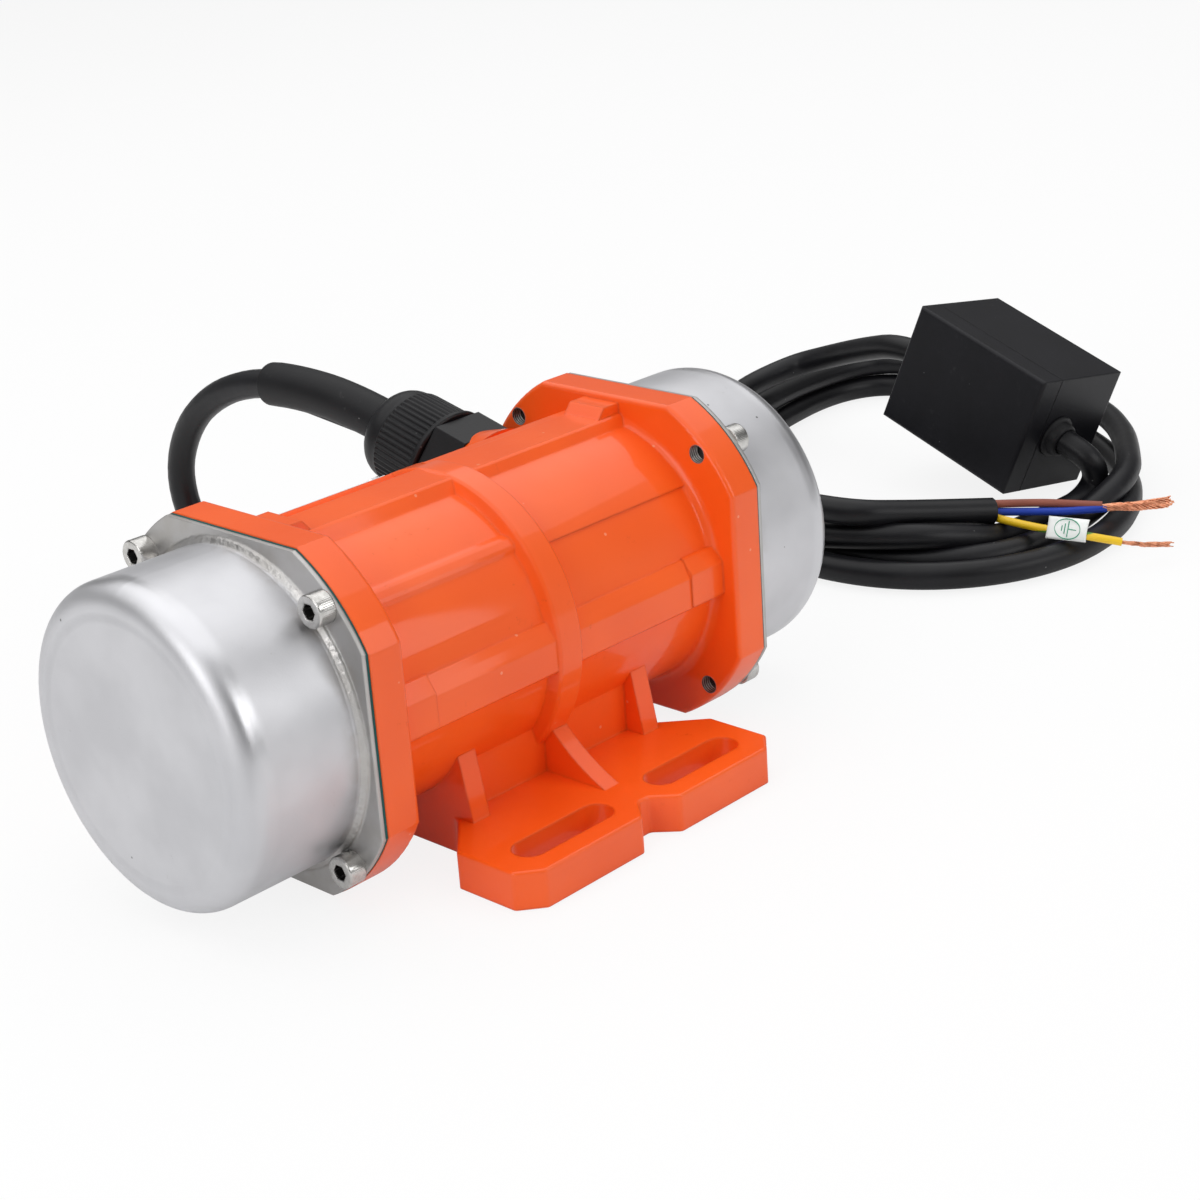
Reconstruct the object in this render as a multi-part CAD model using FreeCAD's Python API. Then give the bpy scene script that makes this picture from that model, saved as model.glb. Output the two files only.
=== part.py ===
import FreeCAD, Part
import math
import os

from FreeCAD import Placement, Rotation, Vector

os.makedirs("parts", exist_ok=True)

# Vibration motor: a cast housing on a slotted foot, a drawn cover over the
# eccentric weights at each end, a gland with its cable, and a capacitor box.
# Millimetres. X is the shaft axis, with the rear cover on +X. Z is up.
# The origin is on the foot's underside, below the middle of the shaft.

# driving dimensions: housing
AXIS_Z = 47.7            # shaft axis above the foot's underside
FLANGE_HALF = 46.0       # half the width of the square flanges
FLANGE_ROUND_R = 51.75   # circle that rounds off the flange corners
FLANGE_IN = 60.4         # inner face of a flange, from the middle
FLANGE_OUT = 71.0        # outer face of a flange
BARREL_R = 38.6
BORE_R = 34.0
RIB_R = 42.0             # ring rib round the middle of the barrel
RAIL_H = 41.4            # height of the top rail over the axis
BAND_H = 0.6             # how far the rear half's upper band stands out from the barrel
BAND_EDGE = 39.4         # degrees over the level, where that band ends
FOOT_T = 10.4
FOOT_HALF_X = 48.8
FOOT_HALF_Y = 69.5
SLOT_X = 24.6            # slot centres
SLOT_Y = 58.2
SLOT_LENGTH = 33.5
SLOT_R = 4.7
PEDESTAL_X = 35.5
PEDESTAL_Y = 30.5
SCREW_OFFSET = 34.1      # cover screws, from the axis in Y and in Z
SCREW_R = 2.45
TAPPED_R = 2.5

# driving dimensions: covers
GASKET_T = 0.6
SHEET_T = 1.2
PLATE_HALF = 45.6
PLATE_ROUND_R = 51.6
CUP_R = 42.6
CUP_END = 108.1
CUP_RIM_R = 6.0

# driving dimensions: rotor and stator
STATOR_HALF = 30.0
STATOR_BORE_R = 19.0
AIR_GAP = 0.4
SHAFT_R = 9.5
SHOULDER_R = 10.6
SEAT_R = 8.5             # bearing seat
JOURNAL_R = 7.5          # shaft under the weights
SHAFT_END = 104.5
BEARING_IN = 55.0
BEARING_W = 12.0
BEARING_R = 20.0
BALL_PITCH_R = 14.25
BALL_R = 3.375
BALL_COUNT = 8
RACE_CLEARANCE = 0.045
SHIELD_SCREW_R = 37.5
WEIGHT_R = 37.0
WEIGHT_T = 11.0
FIXED_IN = 80.0
LOOSE_IN = 91.6
LOOSE_BORE_GAP = 0.05

# driving dimensions: gland and cables
GLAND_X = 38.0
GLAND_TILT = math.radians(15)
GLAND_SEAT = -3.0        # spot-faced seat in the boss, from GLAND_BASE along the gland axis
GLAND_BASE = Vector(GLAND_X, 35.06, 71.3)
THREAD_R = 9.9
CABLE_R = 4.5
CORE_R = 1.35
FLOOR_Z = CABLE_R + 0.1  # centre line of a cable that lies on the floor

# driving dimensions: capacitor box
CASE_LENGTH = 58.7
CASE_DEPTH = 45.4
CASE_HEIGHT = 43.5
CASE_WALL = 2.0
LID_DEPTH = 10.0
CASE_CORNER = Vector(264.7, 38.5, 67.2)
CASE_TURN = Rotation(-96.4, 18.3, -9.2)
GROMMET_IN = Vector(0, 18.7, -22.5)   # cable entries on the box's end faces

X_AXIS = Vector(1, 0, 0)
ORIGIN = Vector(0, 0, 0)


def on_axis(x, y=0.0, z=0.0):
    """A point given from the shaft axis."""
    return Vector(x, y, AXIS_Z + z)


def cylinder_x(radius, x0, x1, y=0.0, z=0.0):
    return Part.makeCylinder(radius, x1 - x0, on_axis(x0, y, z), X_AXIS)


def ring_x(outer, inner, x0, x1):
    return cylinder_x(outer, x0, x1).cut(cylinder_x(inner, x0 - 1, x1 + 1))


def block(x0, x1, y0, y1, z0, z1):
    """A box whose z is given from the shaft axis."""
    return Part.makeBox(x1 - x0, y1 - y0, z1 - z0, on_axis(x0, y0, z0))


def polygon_face(points):
    return Part.Face(Part.makePolygon(points + [points[0]]))


def prism_x(yz_points, x0, x1):
    """Extrude an outline in Y and Z, given from the shaft axis, along X."""
    face = polygon_face([on_axis(x0, y, z) for y, z in yz_points])
    return face.extrude(Vector(x1 - x0, 0, 0))


def turned(xr_points):
    """Turn a closed outline of (x, radius) points round the shaft axis."""
    face = polygon_face([on_axis(x, 0, r) for x, r in xr_points])
    return face.revolve(on_axis(0), X_AXIS, 360)


def arc_edge(start, middle, end):
    return Part.Arc(start, middle, end).toShape()


def line_edge(start, end):
    return Part.LineSegment(start, end).toShape()


def to_front(shape):
    """The front end's twin of a piece that is made for the rear end."""
    return shape.mirror(ORIGIN, X_AXIS)


def spun(shape, angle):
    """A copy turned about the shaft axis, in degrees."""
    copy = shape.copy()
    copy.rotate(on_axis(0), X_AXIS, angle)
    return copy


def fuse_all(shapes):
    return shapes[0].multiFuse(shapes[1:]).removeSplitter()


def rounded_outline(points, radii, z):
    """A plane outline with each corner rounded by its own radius."""
    edges = []
    count = len(points)
    ends = []
    for i, radius in enumerate(radii):
        corner = Vector(*points[i], z)
        back = Vector(*points[i - 1], z) - corner
        ahead = Vector(*points[(i + 1) % count], z) - corner
        half = back.getAngle(ahead) / 2
        reach = radius / math.tan(half)
        start = corner + back.normalize() * reach
        end = corner + ahead.normalize() * reach
        inward = (back + ahead).normalize()
        middle = corner + inward * (radius / math.sin(half) - radius)
        ends.append((start, middle, end))
    for i in range(count):
        start, middle, end = ends[i]
        edges.append(arc_edge(start, middle, end))
        edges.append(line_edge(end, ends[(i + 1) % count][0]))
    return Part.Face(Part.Wire(edges))


def square_with_round_corners(half, corner_r, x0, x1):
    square = block(x0, x1, -half, half, -half, half)
    return square.common(cylinder_x(corner_r, x0, x1))


# ---------------------------------------------------------------- housing

def flange():
    """Rear flange, with its inner edge rounded off."""
    plate = square_with_round_corners(FLANGE_HALF, FLANGE_ROUND_R, FLANGE_IN, FLANGE_OUT)
    inner_edges = [e for e in plate.Edges if e.BoundBox.XMax < FLANGE_IN + 0.01]
    return plate.makeFillet(1.3, inner_edges)


def root_fillet():
    """Concave fillet where the barrel meets the rear flange."""
    size = 3.0
    start = on_axis(FLANGE_IN - size, 0, BARREL_R)
    end = on_axis(FLANGE_IN, 0, BARREL_R + size)
    bulge = size * (1 - math.sqrt(0.5))
    middle = on_axis(FLANGE_IN - bulge, 0, BARREL_R + bulge)
    deep = on_axis(FLANGE_IN + 1, 0, BARREL_R + size)
    root = on_axis(FLANGE_IN + 1, 0, BARREL_R - 1)
    low = on_axis(FLANGE_IN - size, 0, BARREL_R - 1)
    edges = [arc_edge(start, middle, end), line_edge(end, deep), line_edge(deep, root),
             line_edge(root, low), line_edge(low, start)]
    return Part.Face(Part.Wire(edges)).revolve(on_axis(0), X_AXIS, 360)


def ring_rib():
    low = BARREL_R - 1
    return turned([(-6.4, low), (-5.9, BARREL_R + 0.3), (-4.9, RIB_R - 0.6), (-4.2, RIB_R),
                   (3.0, RIB_R), (3.7, RIB_R - 0.6), (4.7, BARREL_R + 0.3), (5.2, low)])


def rails():
    """Lengthwise rails on the top and both sides, the rear's raised band, the front's low ridge."""
    inside = BORE_R + 1
    top = prism_x([(-9.0, inside), (-9.0, 37.4), (-7.0, RAIL_H - 0.5), (-6.4, RAIL_H),
                   (6.4, RAIL_H), (7.0, RAIL_H - 0.5), (9.0, 37.4), (9.0, inside)],
                  -FLANGE_IN, FLANGE_IN)
    shelf = prism_x([(0, inside), (0, RAIL_H - 0.3), (3.0, RAIL_H), (9.6, RAIL_H - 0.2),
                     (10.4, RAIL_H - 0.8), (12.4, 36.6), (12.4, inside - 4)], 0, FLANGE_IN)
    shapes = [top, shelf]
    for hand in (-1, 1):
        side = [(36.0, -6.5), (40.4, -5.6), (41.0, -5.0), (41.0, 3.4), (40.6, 4.1),
                (39.5, 6.2), (38.3, 8.2), (36.0, 8.6)]
        shapes.append(prism_x([(hand * y, z) for y, z in side], -FLANGE_IN, FLANGE_IN))
        band = ring_x(BARREL_R + BAND_H, BORE_R + 1, 0, FLANGE_IN)
        edge = 60 * math.tan(math.radians(BAND_EDGE))
        wedge = prism_x([(0, 0), (hand * 60, edge), (hand * 60, 60), (0, 60)], 0, FLANGE_IN)
        shapes.append(band.common(wedge))
    ridge = [(BORE_R + 1, 40.5), (BARREL_R - 0.2, 40.5), (BARREL_R + 0.8, 42.2), (BARREL_R + 1.2, 43.6),
             (BARREL_R + 1.2, 46.4), (BARREL_R + 0.8, 48.0), (BARREL_R - 0.2, 50.4), (BORE_R + 1, 50.4)]
    shapes.append(prism_x([(-r * math.cos(math.radians(a)), r * math.sin(math.radians(a)))
                           for r, a in ridge], -FLANGE_IN, 0))
    return shapes


def rail_ends():
    """Thicker blocks where the rails run into the flanges."""
    side_end = [(36.0, -5.4), (41.5, -4.8), (41.5, 4.4), (38.6, 8.6), (36.0, 8.8)]
    shapes = []
    for end in (-1, 1):
        near, far = sorted((end * 47.5, end * FLANGE_IN))
        for hand in (-1, 1):
            shapes.append(prism_x([(hand * y, z) for y, z in side_end], near, far))
        profile = [(52.0, 37.0), (52.0, RAIL_H), (54.5, RAIL_H + 2.9), (FLANGE_IN, RAIL_H + 2.9),
                   (FLANGE_IN, 37.0)]
        face = polygon_face([on_axis(end * x, -6.0, z) for x, z in profile])
        shapes.append(face.extrude(Vector(0, 13.0, 0)))
    return shapes


def foot():
    """Foot plate with four slots and a notch in each long edge."""
    quarter = [(PEDESTAL_X, 31.0), (FOOT_HALF_X, 44.5), (FOOT_HALF_X, 64.1),
               (42.5, FOOT_HALF_Y), (7.3, FOOT_HALF_Y), (1.95, 63.1)]
    quarter_radii = [6.0, 1.5, 1.5, 1.5, 1.8, 1.9]
    half = quarter + [(-x, y) for x, y in reversed(quarter)]
    half_radii = quarter_radii + quarter_radii[::-1]
    outline = half + [(-x, -y) for x, y in half]
    plate = rounded_outline(outline, half_radii * 2, 0).extrude(Vector(0, 0, FOOT_T))
    top_edges = [e for e in plate.Edges if e.BoundBox.ZMin > FOOT_T - 0.01]
    plate = plate.makeFillet(0.8, top_edges)
    reach = SLOT_LENGTH / 2 - SLOT_R
    for x in (-SLOT_X, SLOT_X):
        for y in (-SLOT_Y, SLOT_Y):
            slot = Part.makeBox(2 * reach, 2 * SLOT_R, FOOT_T + 2, Vector(x - reach, y - SLOT_R, -1))
            for end in (x - reach, x + reach):
                slot = slot.fuse(Part.makeCylinder(SLOT_R, FOOT_T + 2, Vector(end, y, -1)))
            plate = plate.cut(slot.removeSplitter())
    return plate


def pedestal():
    """Block between the barrel and the foot, with its end and middle gussets."""
    foot_top = FOOT_T - AXIS_Z
    low = foot_top - 1
    shapes = [block(-PEDESTAL_X, PEDESTAL_X, -PEDESTAL_Y, PEDESTAL_Y, low, -20.0)]
    for hand in (-1, 1):
        for x0 in (-PEDESTAL_X, PEDESTAL_X - 6.0):
            shapes.append(prism_x([(hand * 29.0, low), (hand * 37.2, low), (hand * 36.9, foot_top),
                                   (hand * 33.4, -19.5), (hand * 29.0, -19.5)], x0, x0 + 6.0))
        start = on_axis(-2.0, hand * 33.7, -24.6)
        middle = on_axis(-2.0, hand * 41.7, -31.7)
        end = on_axis(-2.0, hand * 51.6, foot_top)
        corners = [end, on_axis(-2.0, hand * 51.6, low), on_axis(-2.0, hand * 29.0, low),
                   on_axis(-2.0, hand * 29.0, -24.6), start]
        edges = [arc_edge(start, middle, end)]
        edges += [line_edge(a, b) for a, b in zip(corners, corners[1:])]
        shapes.append(Part.Face(Part.Wire(edges)).extrude(Vector(5.4, 0, 0)))
    return shapes


def gland_axis():
    return Vector(0, math.cos(GLAND_TILT), math.sin(GLAND_TILT))


def gland_point(distance):
    """A point on the gland axis, counted from the boss face outwards."""
    return GLAND_BASE + gland_axis() * distance


def gland_cylinder(radius, start, end):
    return Part.makeCylinder(radius, end - start, gland_point(start), gland_axis())


def gland_boss():
    root = Part.makeCone(18.5, 14.4, 8.0, gland_point(-12.0), gland_axis())
    return [root, gland_cylinder(14.4, -5.0, GLAND_SEAT)]


PAD_ANGLE = math.radians(50)
PAD_FACE = 38.9          # nameplate pad, from the shaft axis
PAD_X = (-52.0, -8.0)
PAD_HALF = 16.0


def pad_block(depth0, depth1, half, x0, x1):
    """A flat block on the nameplate pad's plane, between two depths."""
    normal = (math.cos(PAD_ANGLE), math.sin(PAD_ANGLE))
    along = (-normal[1], normal[0])
    corners = [(depth0, -half), (depth0, half), (depth1, half), (depth1, -half)]
    points = [(normal[0] * d + along[0] * s, normal[1] * d + along[1] * s) for d, s in corners]
    return prism_x(points, x0, x1)


def screw_places(offset):
    return [(y, z) for y in (-offset, offset) for z in (-offset, offset)]


def shield_screw_places():
    return [(SHIELD_SCREW_R * math.cos(math.radians(a)), SHIELD_SCREW_R * math.sin(math.radians(a)))
            for a in (0, 90, 180, 270)]


RIVET_PLACES = [(x, s) for x in (-48.5, -11.5) for s in (-11.5, 11.5)]


def pad_rod(x, s, depth0, depth1, radius):
    normal = Vector(0, math.cos(PAD_ANGLE), math.sin(PAD_ANGLE))
    along = Vector(0, -math.sin(PAD_ANGLE), math.cos(PAD_ANGLE))
    start = on_axis(x) + normal * depth0 + along * s
    return Part.makeCylinder(radius, depth1 - depth0, start, normal)


def housing():
    solid = [cylinder_x(BARREL_R, -FLANGE_IN, FLANGE_IN), flange(), to_front(flange()),
             root_fillet(), to_front(root_fillet()), ring_rib(), foot(),
             pad_block(30.0, PAD_FACE, PAD_HALF, *PAD_X)]
    solid += rails() + rail_ends() + pedestal() + gland_boss()
    body = fuse_all(solid)
    body = body.cut(cylinder_x(BORE_R, -FLANGE_OUT - 1, FLANGE_OUT + 1))
    body = body.cut(gland_cylinder(THREAD_R, -14.0, 1.0))
    body = body.cut(gland_cylinder(13.9, GLAND_SEAT, 12.0))
    for y, z in screw_places(SCREW_OFFSET):
        for x0 in (FLANGE_IN - 1, -FLANGE_OUT - 1):
            body = body.cut(cylinder_x(TAPPED_R, x0, x0 + FLANGE_OUT - FLANGE_IN + 2, y, z))
    for y, z in shield_screw_places():
        for x0 in (FLANGE_OUT - 8.5, -FLANGE_OUT - 1):
            body = body.cut(cylinder_x(1.7, x0, x0 + 9.5, y, z))
    for x, s in RIVET_PLACES:
        body = body.cut(pad_rod(x, s, PAD_FACE - 4.0, PAD_FACE + 1, 1.0))
    return body


# ------------------------------------------------- nameplate and its rivets

PLATE_T = 0.8


def nameplate():
    plate = pad_block(PAD_FACE, PAD_FACE + PLATE_T, 14.0, PAD_X[0] + 1.0, PAD_X[1] - 1.0)
    for x, s in RIVET_PLACES:
        plate = plate.cut(pad_rod(x, s, PAD_FACE - 1, PAD_FACE + 2, 1.05))
    return plate


def nameplate_rivets():
    rivets = []
    for x, s in RIVET_PLACES:
        pin = pad_rod(x, s, PAD_FACE - 3.6, PAD_FACE + PLATE_T + 0.2, 0.97)
        head = pad_rod(x, s, PAD_FACE + PLATE_T, PAD_FACE + PLATE_T + 0.7, 1.9)
        rivets.append(pin.fuse(head).removeSplitter())
    return Part.makeCompound(rivets)


# ----------------------------------------------------- covers and their screws

PLATE_IN = FLANGE_OUT + GASKET_T
PLATE_OUT = PLATE_IN + SHEET_T


def gasket():
    sheet = square_with_round_corners(FLANGE_HALF - 0.3, FLANGE_ROUND_R - 0.2, FLANGE_OUT, PLATE_IN)
    sheet = sheet.cut(cylinder_x(41.4, FLANGE_OUT - 1, PLATE_IN + 1))
    for y, z in screw_places(SCREW_OFFSET):
        sheet = sheet.cut(cylinder_x(TAPPED_R + 0.25, FLANGE_OUT - 1, PLATE_IN + 1, y, z))
    return sheet


def cup_outline(radius, end, rim):
    """Half section of the drawn cup, filled to the axis."""
    straight = end - rim
    bulge = rim * math.sqrt(0.5)
    points = [on_axis(PLATE_OUT - 0.4), on_axis(PLATE_OUT - 0.4, 0, radius),
              on_axis(straight, 0, radius), on_axis(end, 0, radius - rim), on_axis(end)]
    middle = on_axis(straight + bulge, 0, radius - rim + bulge)
    edges = [line_edge(points[0], points[1]), line_edge(points[1], points[2]),
             arc_edge(points[2], middle, points[3]), line_edge(points[3], points[4]),
             line_edge(points[4], points[0])]
    return Part.Face(Part.Wire(edges)).revolve(on_axis(0), X_AXIS, 360)


def cover():
    """Drawn stainless cup on its square plate."""
    plate = square_with_round_corners(PLATE_HALF, PLATE_ROUND_R, PLATE_IN, PLATE_OUT)
    fillet = turned([(PLATE_OUT - 0.2, CUP_R + 1.6), (PLATE_OUT + 0.5, CUP_R + 1.3),
                     (PLATE_OUT + 1.6, CUP_R - 0.3), (PLATE_OUT - 0.2, CUP_R - 0.3)])
    shell = plate.fuse(cup_outline(CUP_R, CUP_END, CUP_RIM_R)).fuse(fillet)
    shell = shell.cut(cup_outline(CUP_R - SHEET_T, CUP_END - SHEET_T, CUP_RIM_R - SHEET_T))
    shell = shell.cut(cylinder_x(CUP_R - SHEET_T, PLATE_IN - 1, PLATE_OUT + 1))
    for y, z in screw_places(SCREW_OFFSET):
        shell = shell.cut(cylinder_x(TAPPED_R + 0.25, PLATE_IN - 1, PLATE_OUT + 1, y, z))
        shell = shell.cut(cylinder_x(4.6, PLATE_OUT, PLATE_OUT + 6, y, z))
    return shell.removeSplitter()


def hexagon_x(across_flats, x0, x1, y, z):
    corner = across_flats / math.sqrt(3)
    points = [(y + corner * math.cos(math.radians(60 * k)), z + corner * math.sin(math.radians(60 * k)))
              for k in range(6)]
    return prism_x(points, x0, x1)


def socket_screw(head_x, y, z, shank_r, length, head_r, head_h, key):
    """Socket head screw whose head stands on +X."""
    shank = cylinder_x(shank_r, head_x - length, head_x + 0.1, y, z)
    head = cylinder_x(head_r, head_x, head_x + head_h, y, z)
    rim = [e for e in head.Edges if e.BoundBox.XMin > head_x + head_h - 0.01]
    head = head.makeFillet(0.5, rim)
    recess = hexagon_x(key, head_x + head_h * 0.42, head_x + head_h + 1, y, z)
    return shank.fuse(head).removeSplitter().cut(recess)


def both_ends(rear_pieces):
    return Part.makeCompound(rear_pieces + [to_front(piece) for piece in rear_pieces])


def cover_screws():
    return both_ends([socket_screw(PLATE_OUT, y, z, SCREW_R, 9.0, 4.25, 5.0, 4.0)
                      for y, z in screw_places(SCREW_OFFSET)])


# ------------------------------------------------------ end shields, bearings

def end_shield(lip_x):
    """Turned shield that centres the bearing in the barrel's bore."""
    seat_end = BEARING_IN + BEARING_W
    disc = turned([(51.0, 12.5), (51.0, BORE_R - 0.03), (FLANGE_OUT, BORE_R - 0.03),
                   (FLANGE_OUT, 40.8), (75.0, 40.8), (75.0, 30.5), (58.0, 30.5), (58.0, 24.5),
                   (69.6, 24.5), (69.6, BEARING_R), (seat_end + 1.3, BEARING_R),
                   (seat_end + 1.3, BEARING_R + 1), (seat_end + 0.1, BEARING_R + 1),
                   (seat_end + 0.1, BEARING_R), (lip_x, BEARING_R), (lip_x, 12.5)])
    for y, z in shield_screw_places():
        disc = disc.cut(cylinder_x(2.2, FLANGE_OUT - 1, 76.0, y, z))
    return disc


def end_shield_screws():
    return both_ends([socket_screw(75.0, y, z, 1.68, 11.0, 3.4, 3.6, 3.0)
                      for y, z in shield_screw_places()])


def race_groove():
    centre_x = BEARING_IN + BEARING_W / 2
    return Part.makeTorus(BALL_PITCH_R, BALL_R + RACE_CLEARANCE, on_axis(centre_x), X_AXIS)


def outer_race():
    ring = ring_x(BEARING_R, 16.9, BEARING_IN, BEARING_IN + BEARING_W)
    return ring.cut(race_groove())


def inner_race():
    ring = ring_x(11.6, SEAT_R, BEARING_IN, BEARING_IN + BEARING_W)
    return ring.cut(race_groove())


def ball_centres():
    centre_x = BEARING_IN + BEARING_W / 2
    step = 2 * math.pi / BALL_COUNT
    return [on_axis(centre_x, BALL_PITCH_R * math.cos(step * k), BALL_PITCH_R * math.sin(step * k))
            for k in range(BALL_COUNT)]


def balls():
    return Part.makeCompound([Part.makeSphere(BALL_R, centre) for centre in ball_centres()])


def cage():
    centre_x = BEARING_IN + BEARING_W / 2
    ring = ring_x(15.4, 13.1, centre_x - 4.4, centre_x + 4.4)
    for centre in ball_centres():
        ring = ring.cut(Part.makeSphere(BALL_R + 0.03, centre))
    return ring


def bearing_retainers():
    start = BEARING_IN + BEARING_W + 0.15
    ring = ring_x(BEARING_R + 0.9, 17.6, start, start + 1.1)
    gap = block(start - 1, start + 3, -3.0, 3.0, 15.0, 25.0)
    return both_ends([ring.cut(gap)])


def wave_spring():
    """Preload washer behind the rear bearing."""
    return ring_x(19.2, 16.4, BEARING_IN - 0.9, BEARING_IN - 0.1)


# ------------------------------------------------------------ stator and rotor

SLOT_COUNT = 18


def wedge_slot(inner_r, outer_r, width, half_length):
    """One slot pointing up from the axis, before it is spun into place."""
    return block(-half_length, half_length, -width / 2, width / 2, inner_r, outer_r)


def stator_core():
    core = ring_x(BORE_R - 0.02, STATOR_BORE_R, -STATOR_HALF, STATOR_HALF)
    for k in range(SLOT_COUNT):
        angle = 360.0 / SLOT_COUNT * (k + 0.5)
        core = core.cut(spun(wedge_slot(20.4, 28.6, 4.4, STATOR_HALF + 1), angle))
        core = core.cut(spun(wedge_slot(18.0, 21.0, 1.8, STATOR_HALF + 1), angle))
    return core


def stator_winding():
    """Coil sides in the slots, joined by the overhang at both ends."""
    overhang = turned([(0.0, 20.8), (0.0, 29.2), (11.0, 30.2), (14.5, 29.0), (14.5, 22.4), (11.0, 20.8)])
    rear = overhang.copy()
    rear.translate(Vector(STATOR_HALF + 0.4, 0, 0))
    shapes = [rear, to_front(rear)]
    for k in range(SLOT_COUNT):
        angle = 360.0 / SLOT_COUNT * (k + 0.5)
        shapes.append(spun(wedge_slot(21.2, 28.3, 4.0, STATOR_HALF + 2), angle))
    return fuse_all(shapes)


def lead_wires():
    """Three short leads from the winding to the cable's inner end."""
    leads = []
    for k in (-1, 0, 1):
        start = gland_point(-9.0) + Vector(2.6 * k, 0, 0)
        middle = start + gland_axis() * 6.5
        inner = on_axis(GLAND_X + 2.6 * k, 21.5, 18.5)
        drop = start - inner
        lead = Part.makeCylinder(0.9, drop.Length, inner, drop)
        lead = lead.fuse(Part.makeSphere(0.9, start))
        lead = lead.fuse(Part.makeCylinder(0.9, (middle - start).Length, start, gland_axis()))
        leads.append(lead)
    return Part.makeCompound(leads)


BAR_COUNT = 20
BAR_R = 1.6
BAR_PITCH_R = 16.2


def bar(radius, half_length, k):
    angle = 2 * math.pi * k / BAR_COUNT
    return cylinder_x(radius, -half_length, half_length,
                      BAR_PITCH_R * math.cos(angle), BAR_PITCH_R * math.sin(angle))


def rotor_core():
    core = ring_x(STATOR_BORE_R - AIR_GAP, SHAFT_R, -STATOR_HALF, STATOR_HALF)
    for k in range(BAR_COUNT):
        core = core.cut(bar(BAR_R, STATOR_HALF + 1, k))
    return core


def rotor_cage():
    """Cast bars and end rings of the rotor."""
    end_ring = ring_x(18.2, 13.4, STATOR_HALF, STATOR_HALF + 7.0)
    shapes = [end_ring, to_front(end_ring)]
    shapes += [bar(BAR_R, STATOR_HALF + 1, k) for k in range(BAR_COUNT)]
    return fuse_all(shapes)


KEY_HALF = 2.5
KEY_FLOOR = 5.0          # bottom of the keyway, from the shaft axis
KEY_TOP = 9.8
RETAINER_X = 103.0


def shaft():
    seat_end = BEARING_IN + BEARING_W + 3.0
    half = [(0.0, 0.0), (0.0, SHAFT_R), (42.0, SHAFT_R), (42.0, SHOULDER_R), (BEARING_IN, SHOULDER_R),
            (BEARING_IN, SEAT_R), (seat_end, SEAT_R), (seat_end, JOURNAL_R), (RETAINER_X, JOURNAL_R),
            (RETAINER_X, JOURNAL_R - 0.5), (RETAINER_X + 1.1, JOURNAL_R - 0.5),
            (RETAINER_X + 1.1, JOURNAL_R), (SHAFT_END - 0.6, JOURNAL_R), (SHAFT_END, JOURNAL_R - 0.6),
            (SHAFT_END, 0.0)]
    rear = turned(half)
    whole = rear.fuse(to_front(rear)).removeSplitter()
    for x0 in (FIXED_IN, -FIXED_IN - WEIGHT_T):
        whole = whole.cut(block(x0, x0 + WEIGHT_T, -KEY_HALF, KEY_HALF, KEY_FLOOR, 12.0))
    return whole


def weight_keys():
    return both_ends([block(FIXED_IN + 0.2, FIXED_IN + WEIGHT_T - 0.2, -KEY_HALF, KEY_HALF,
                            KEY_FLOOR, KEY_TOP)])


LUG_HALF = 11.0
LUG_TOP = 20.0
BOLT_Z = 14.2


def weight(x_in, bore_r):
    """Eccentric weight: a heavy half disc, a hub and a split clamp above it."""
    x_out = x_in + WEIGHT_T
    heavy = cylinder_x(WEIGHT_R, x_in, x_out).common(
        prism_x([(-40, 3.0), (-40, -40), (40, -40), (40, 3.0), (14, 9.0), (-14, 9.0)], x_in, x_out))
    lugs = block(x_in, x_out, -LUG_HALF, LUG_HALF, 0.0, LUG_TOP)
    side_edges = [e for e in lugs.Edges if e.BoundBox.ZMin > AXIS_Z + LUG_TOP - 0.01
                  and e.BoundBox.XLength > WEIGHT_T - 0.01]
    lugs = lugs.makeFillet(3.0, side_edges)
    hub = cylinder_x(15.0, x_in, x_out)
    solid = fuse_all([heavy, hub, lugs])
    solid = solid.cut(cylinder_x(bore_r, x_in - 1, x_out + 1))
    solid = solid.cut(block(x_in - 1, x_out + 1, -0.9, 0.9, 0.0, LUG_TOP + 1))
    middle = on_axis((x_in + x_out) / 2, -LUG_HALF - 1, BOLT_Z)
    return solid.cut(Part.makeCylinder(TAPPED_R, 2 * LUG_HALF + 2, middle, Vector(0, 1, 0)))


def fixed_weight():
    keyway = block(FIXED_IN - 1, FIXED_IN + WEIGHT_T + 1, -KEY_HALF, KEY_HALF, 0.0, KEY_TOP + 0.1)
    return weight(FIXED_IN, JOURNAL_R).cut(keyway)


def loose_weight():
    return weight(LOOSE_IN, JOURNAL_R + LOOSE_BORE_GAP)


def clamp_bolt(x_in):
    """Bolt that pinches a weight's two lugs together."""
    head_start = on_axis(x_in + WEIGHT_T / 2, -LUG_HALF, BOLT_Z)
    shank = Part.makeCylinder(SCREW_R, 2 * LUG_HALF - 2, head_start, Vector(0, 1, 0))
    head = Part.makeCylinder(4.2, 5.0, head_start, Vector(0, -1, 0))
    key = 4.0 / math.sqrt(3)
    corners = [head_start + Vector(key * math.cos(math.radians(60 * k)), -6.0,
                                   key * math.sin(math.radians(60 * k))) for k in range(6)]
    recess = polygon_face(corners).extrude(Vector(0, 3.2, 0))
    return shank.fuse(head).removeSplitter().cut(recess)


def shaft_retainers():
    ring = ring_x(10.6, JOURNAL_R - 0.4, RETAINER_X + 0.05, RETAINER_X + 1.05)
    gap = block(RETAINER_X - 1, RETAINER_X + 3, -2.4, 2.4, 0.0, 12.0)
    return both_ends([ring.cut(gap)])


# ------------------------------------------------------------- gland, sleeve

HEX_END = 8.0            # hex top, from the boss face
NUT_START = 7.7
NUT_END = 31.2
KNURL_START = 9.4
KNURL_END = 22.4
CABLE_GAP = 0.15


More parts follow.
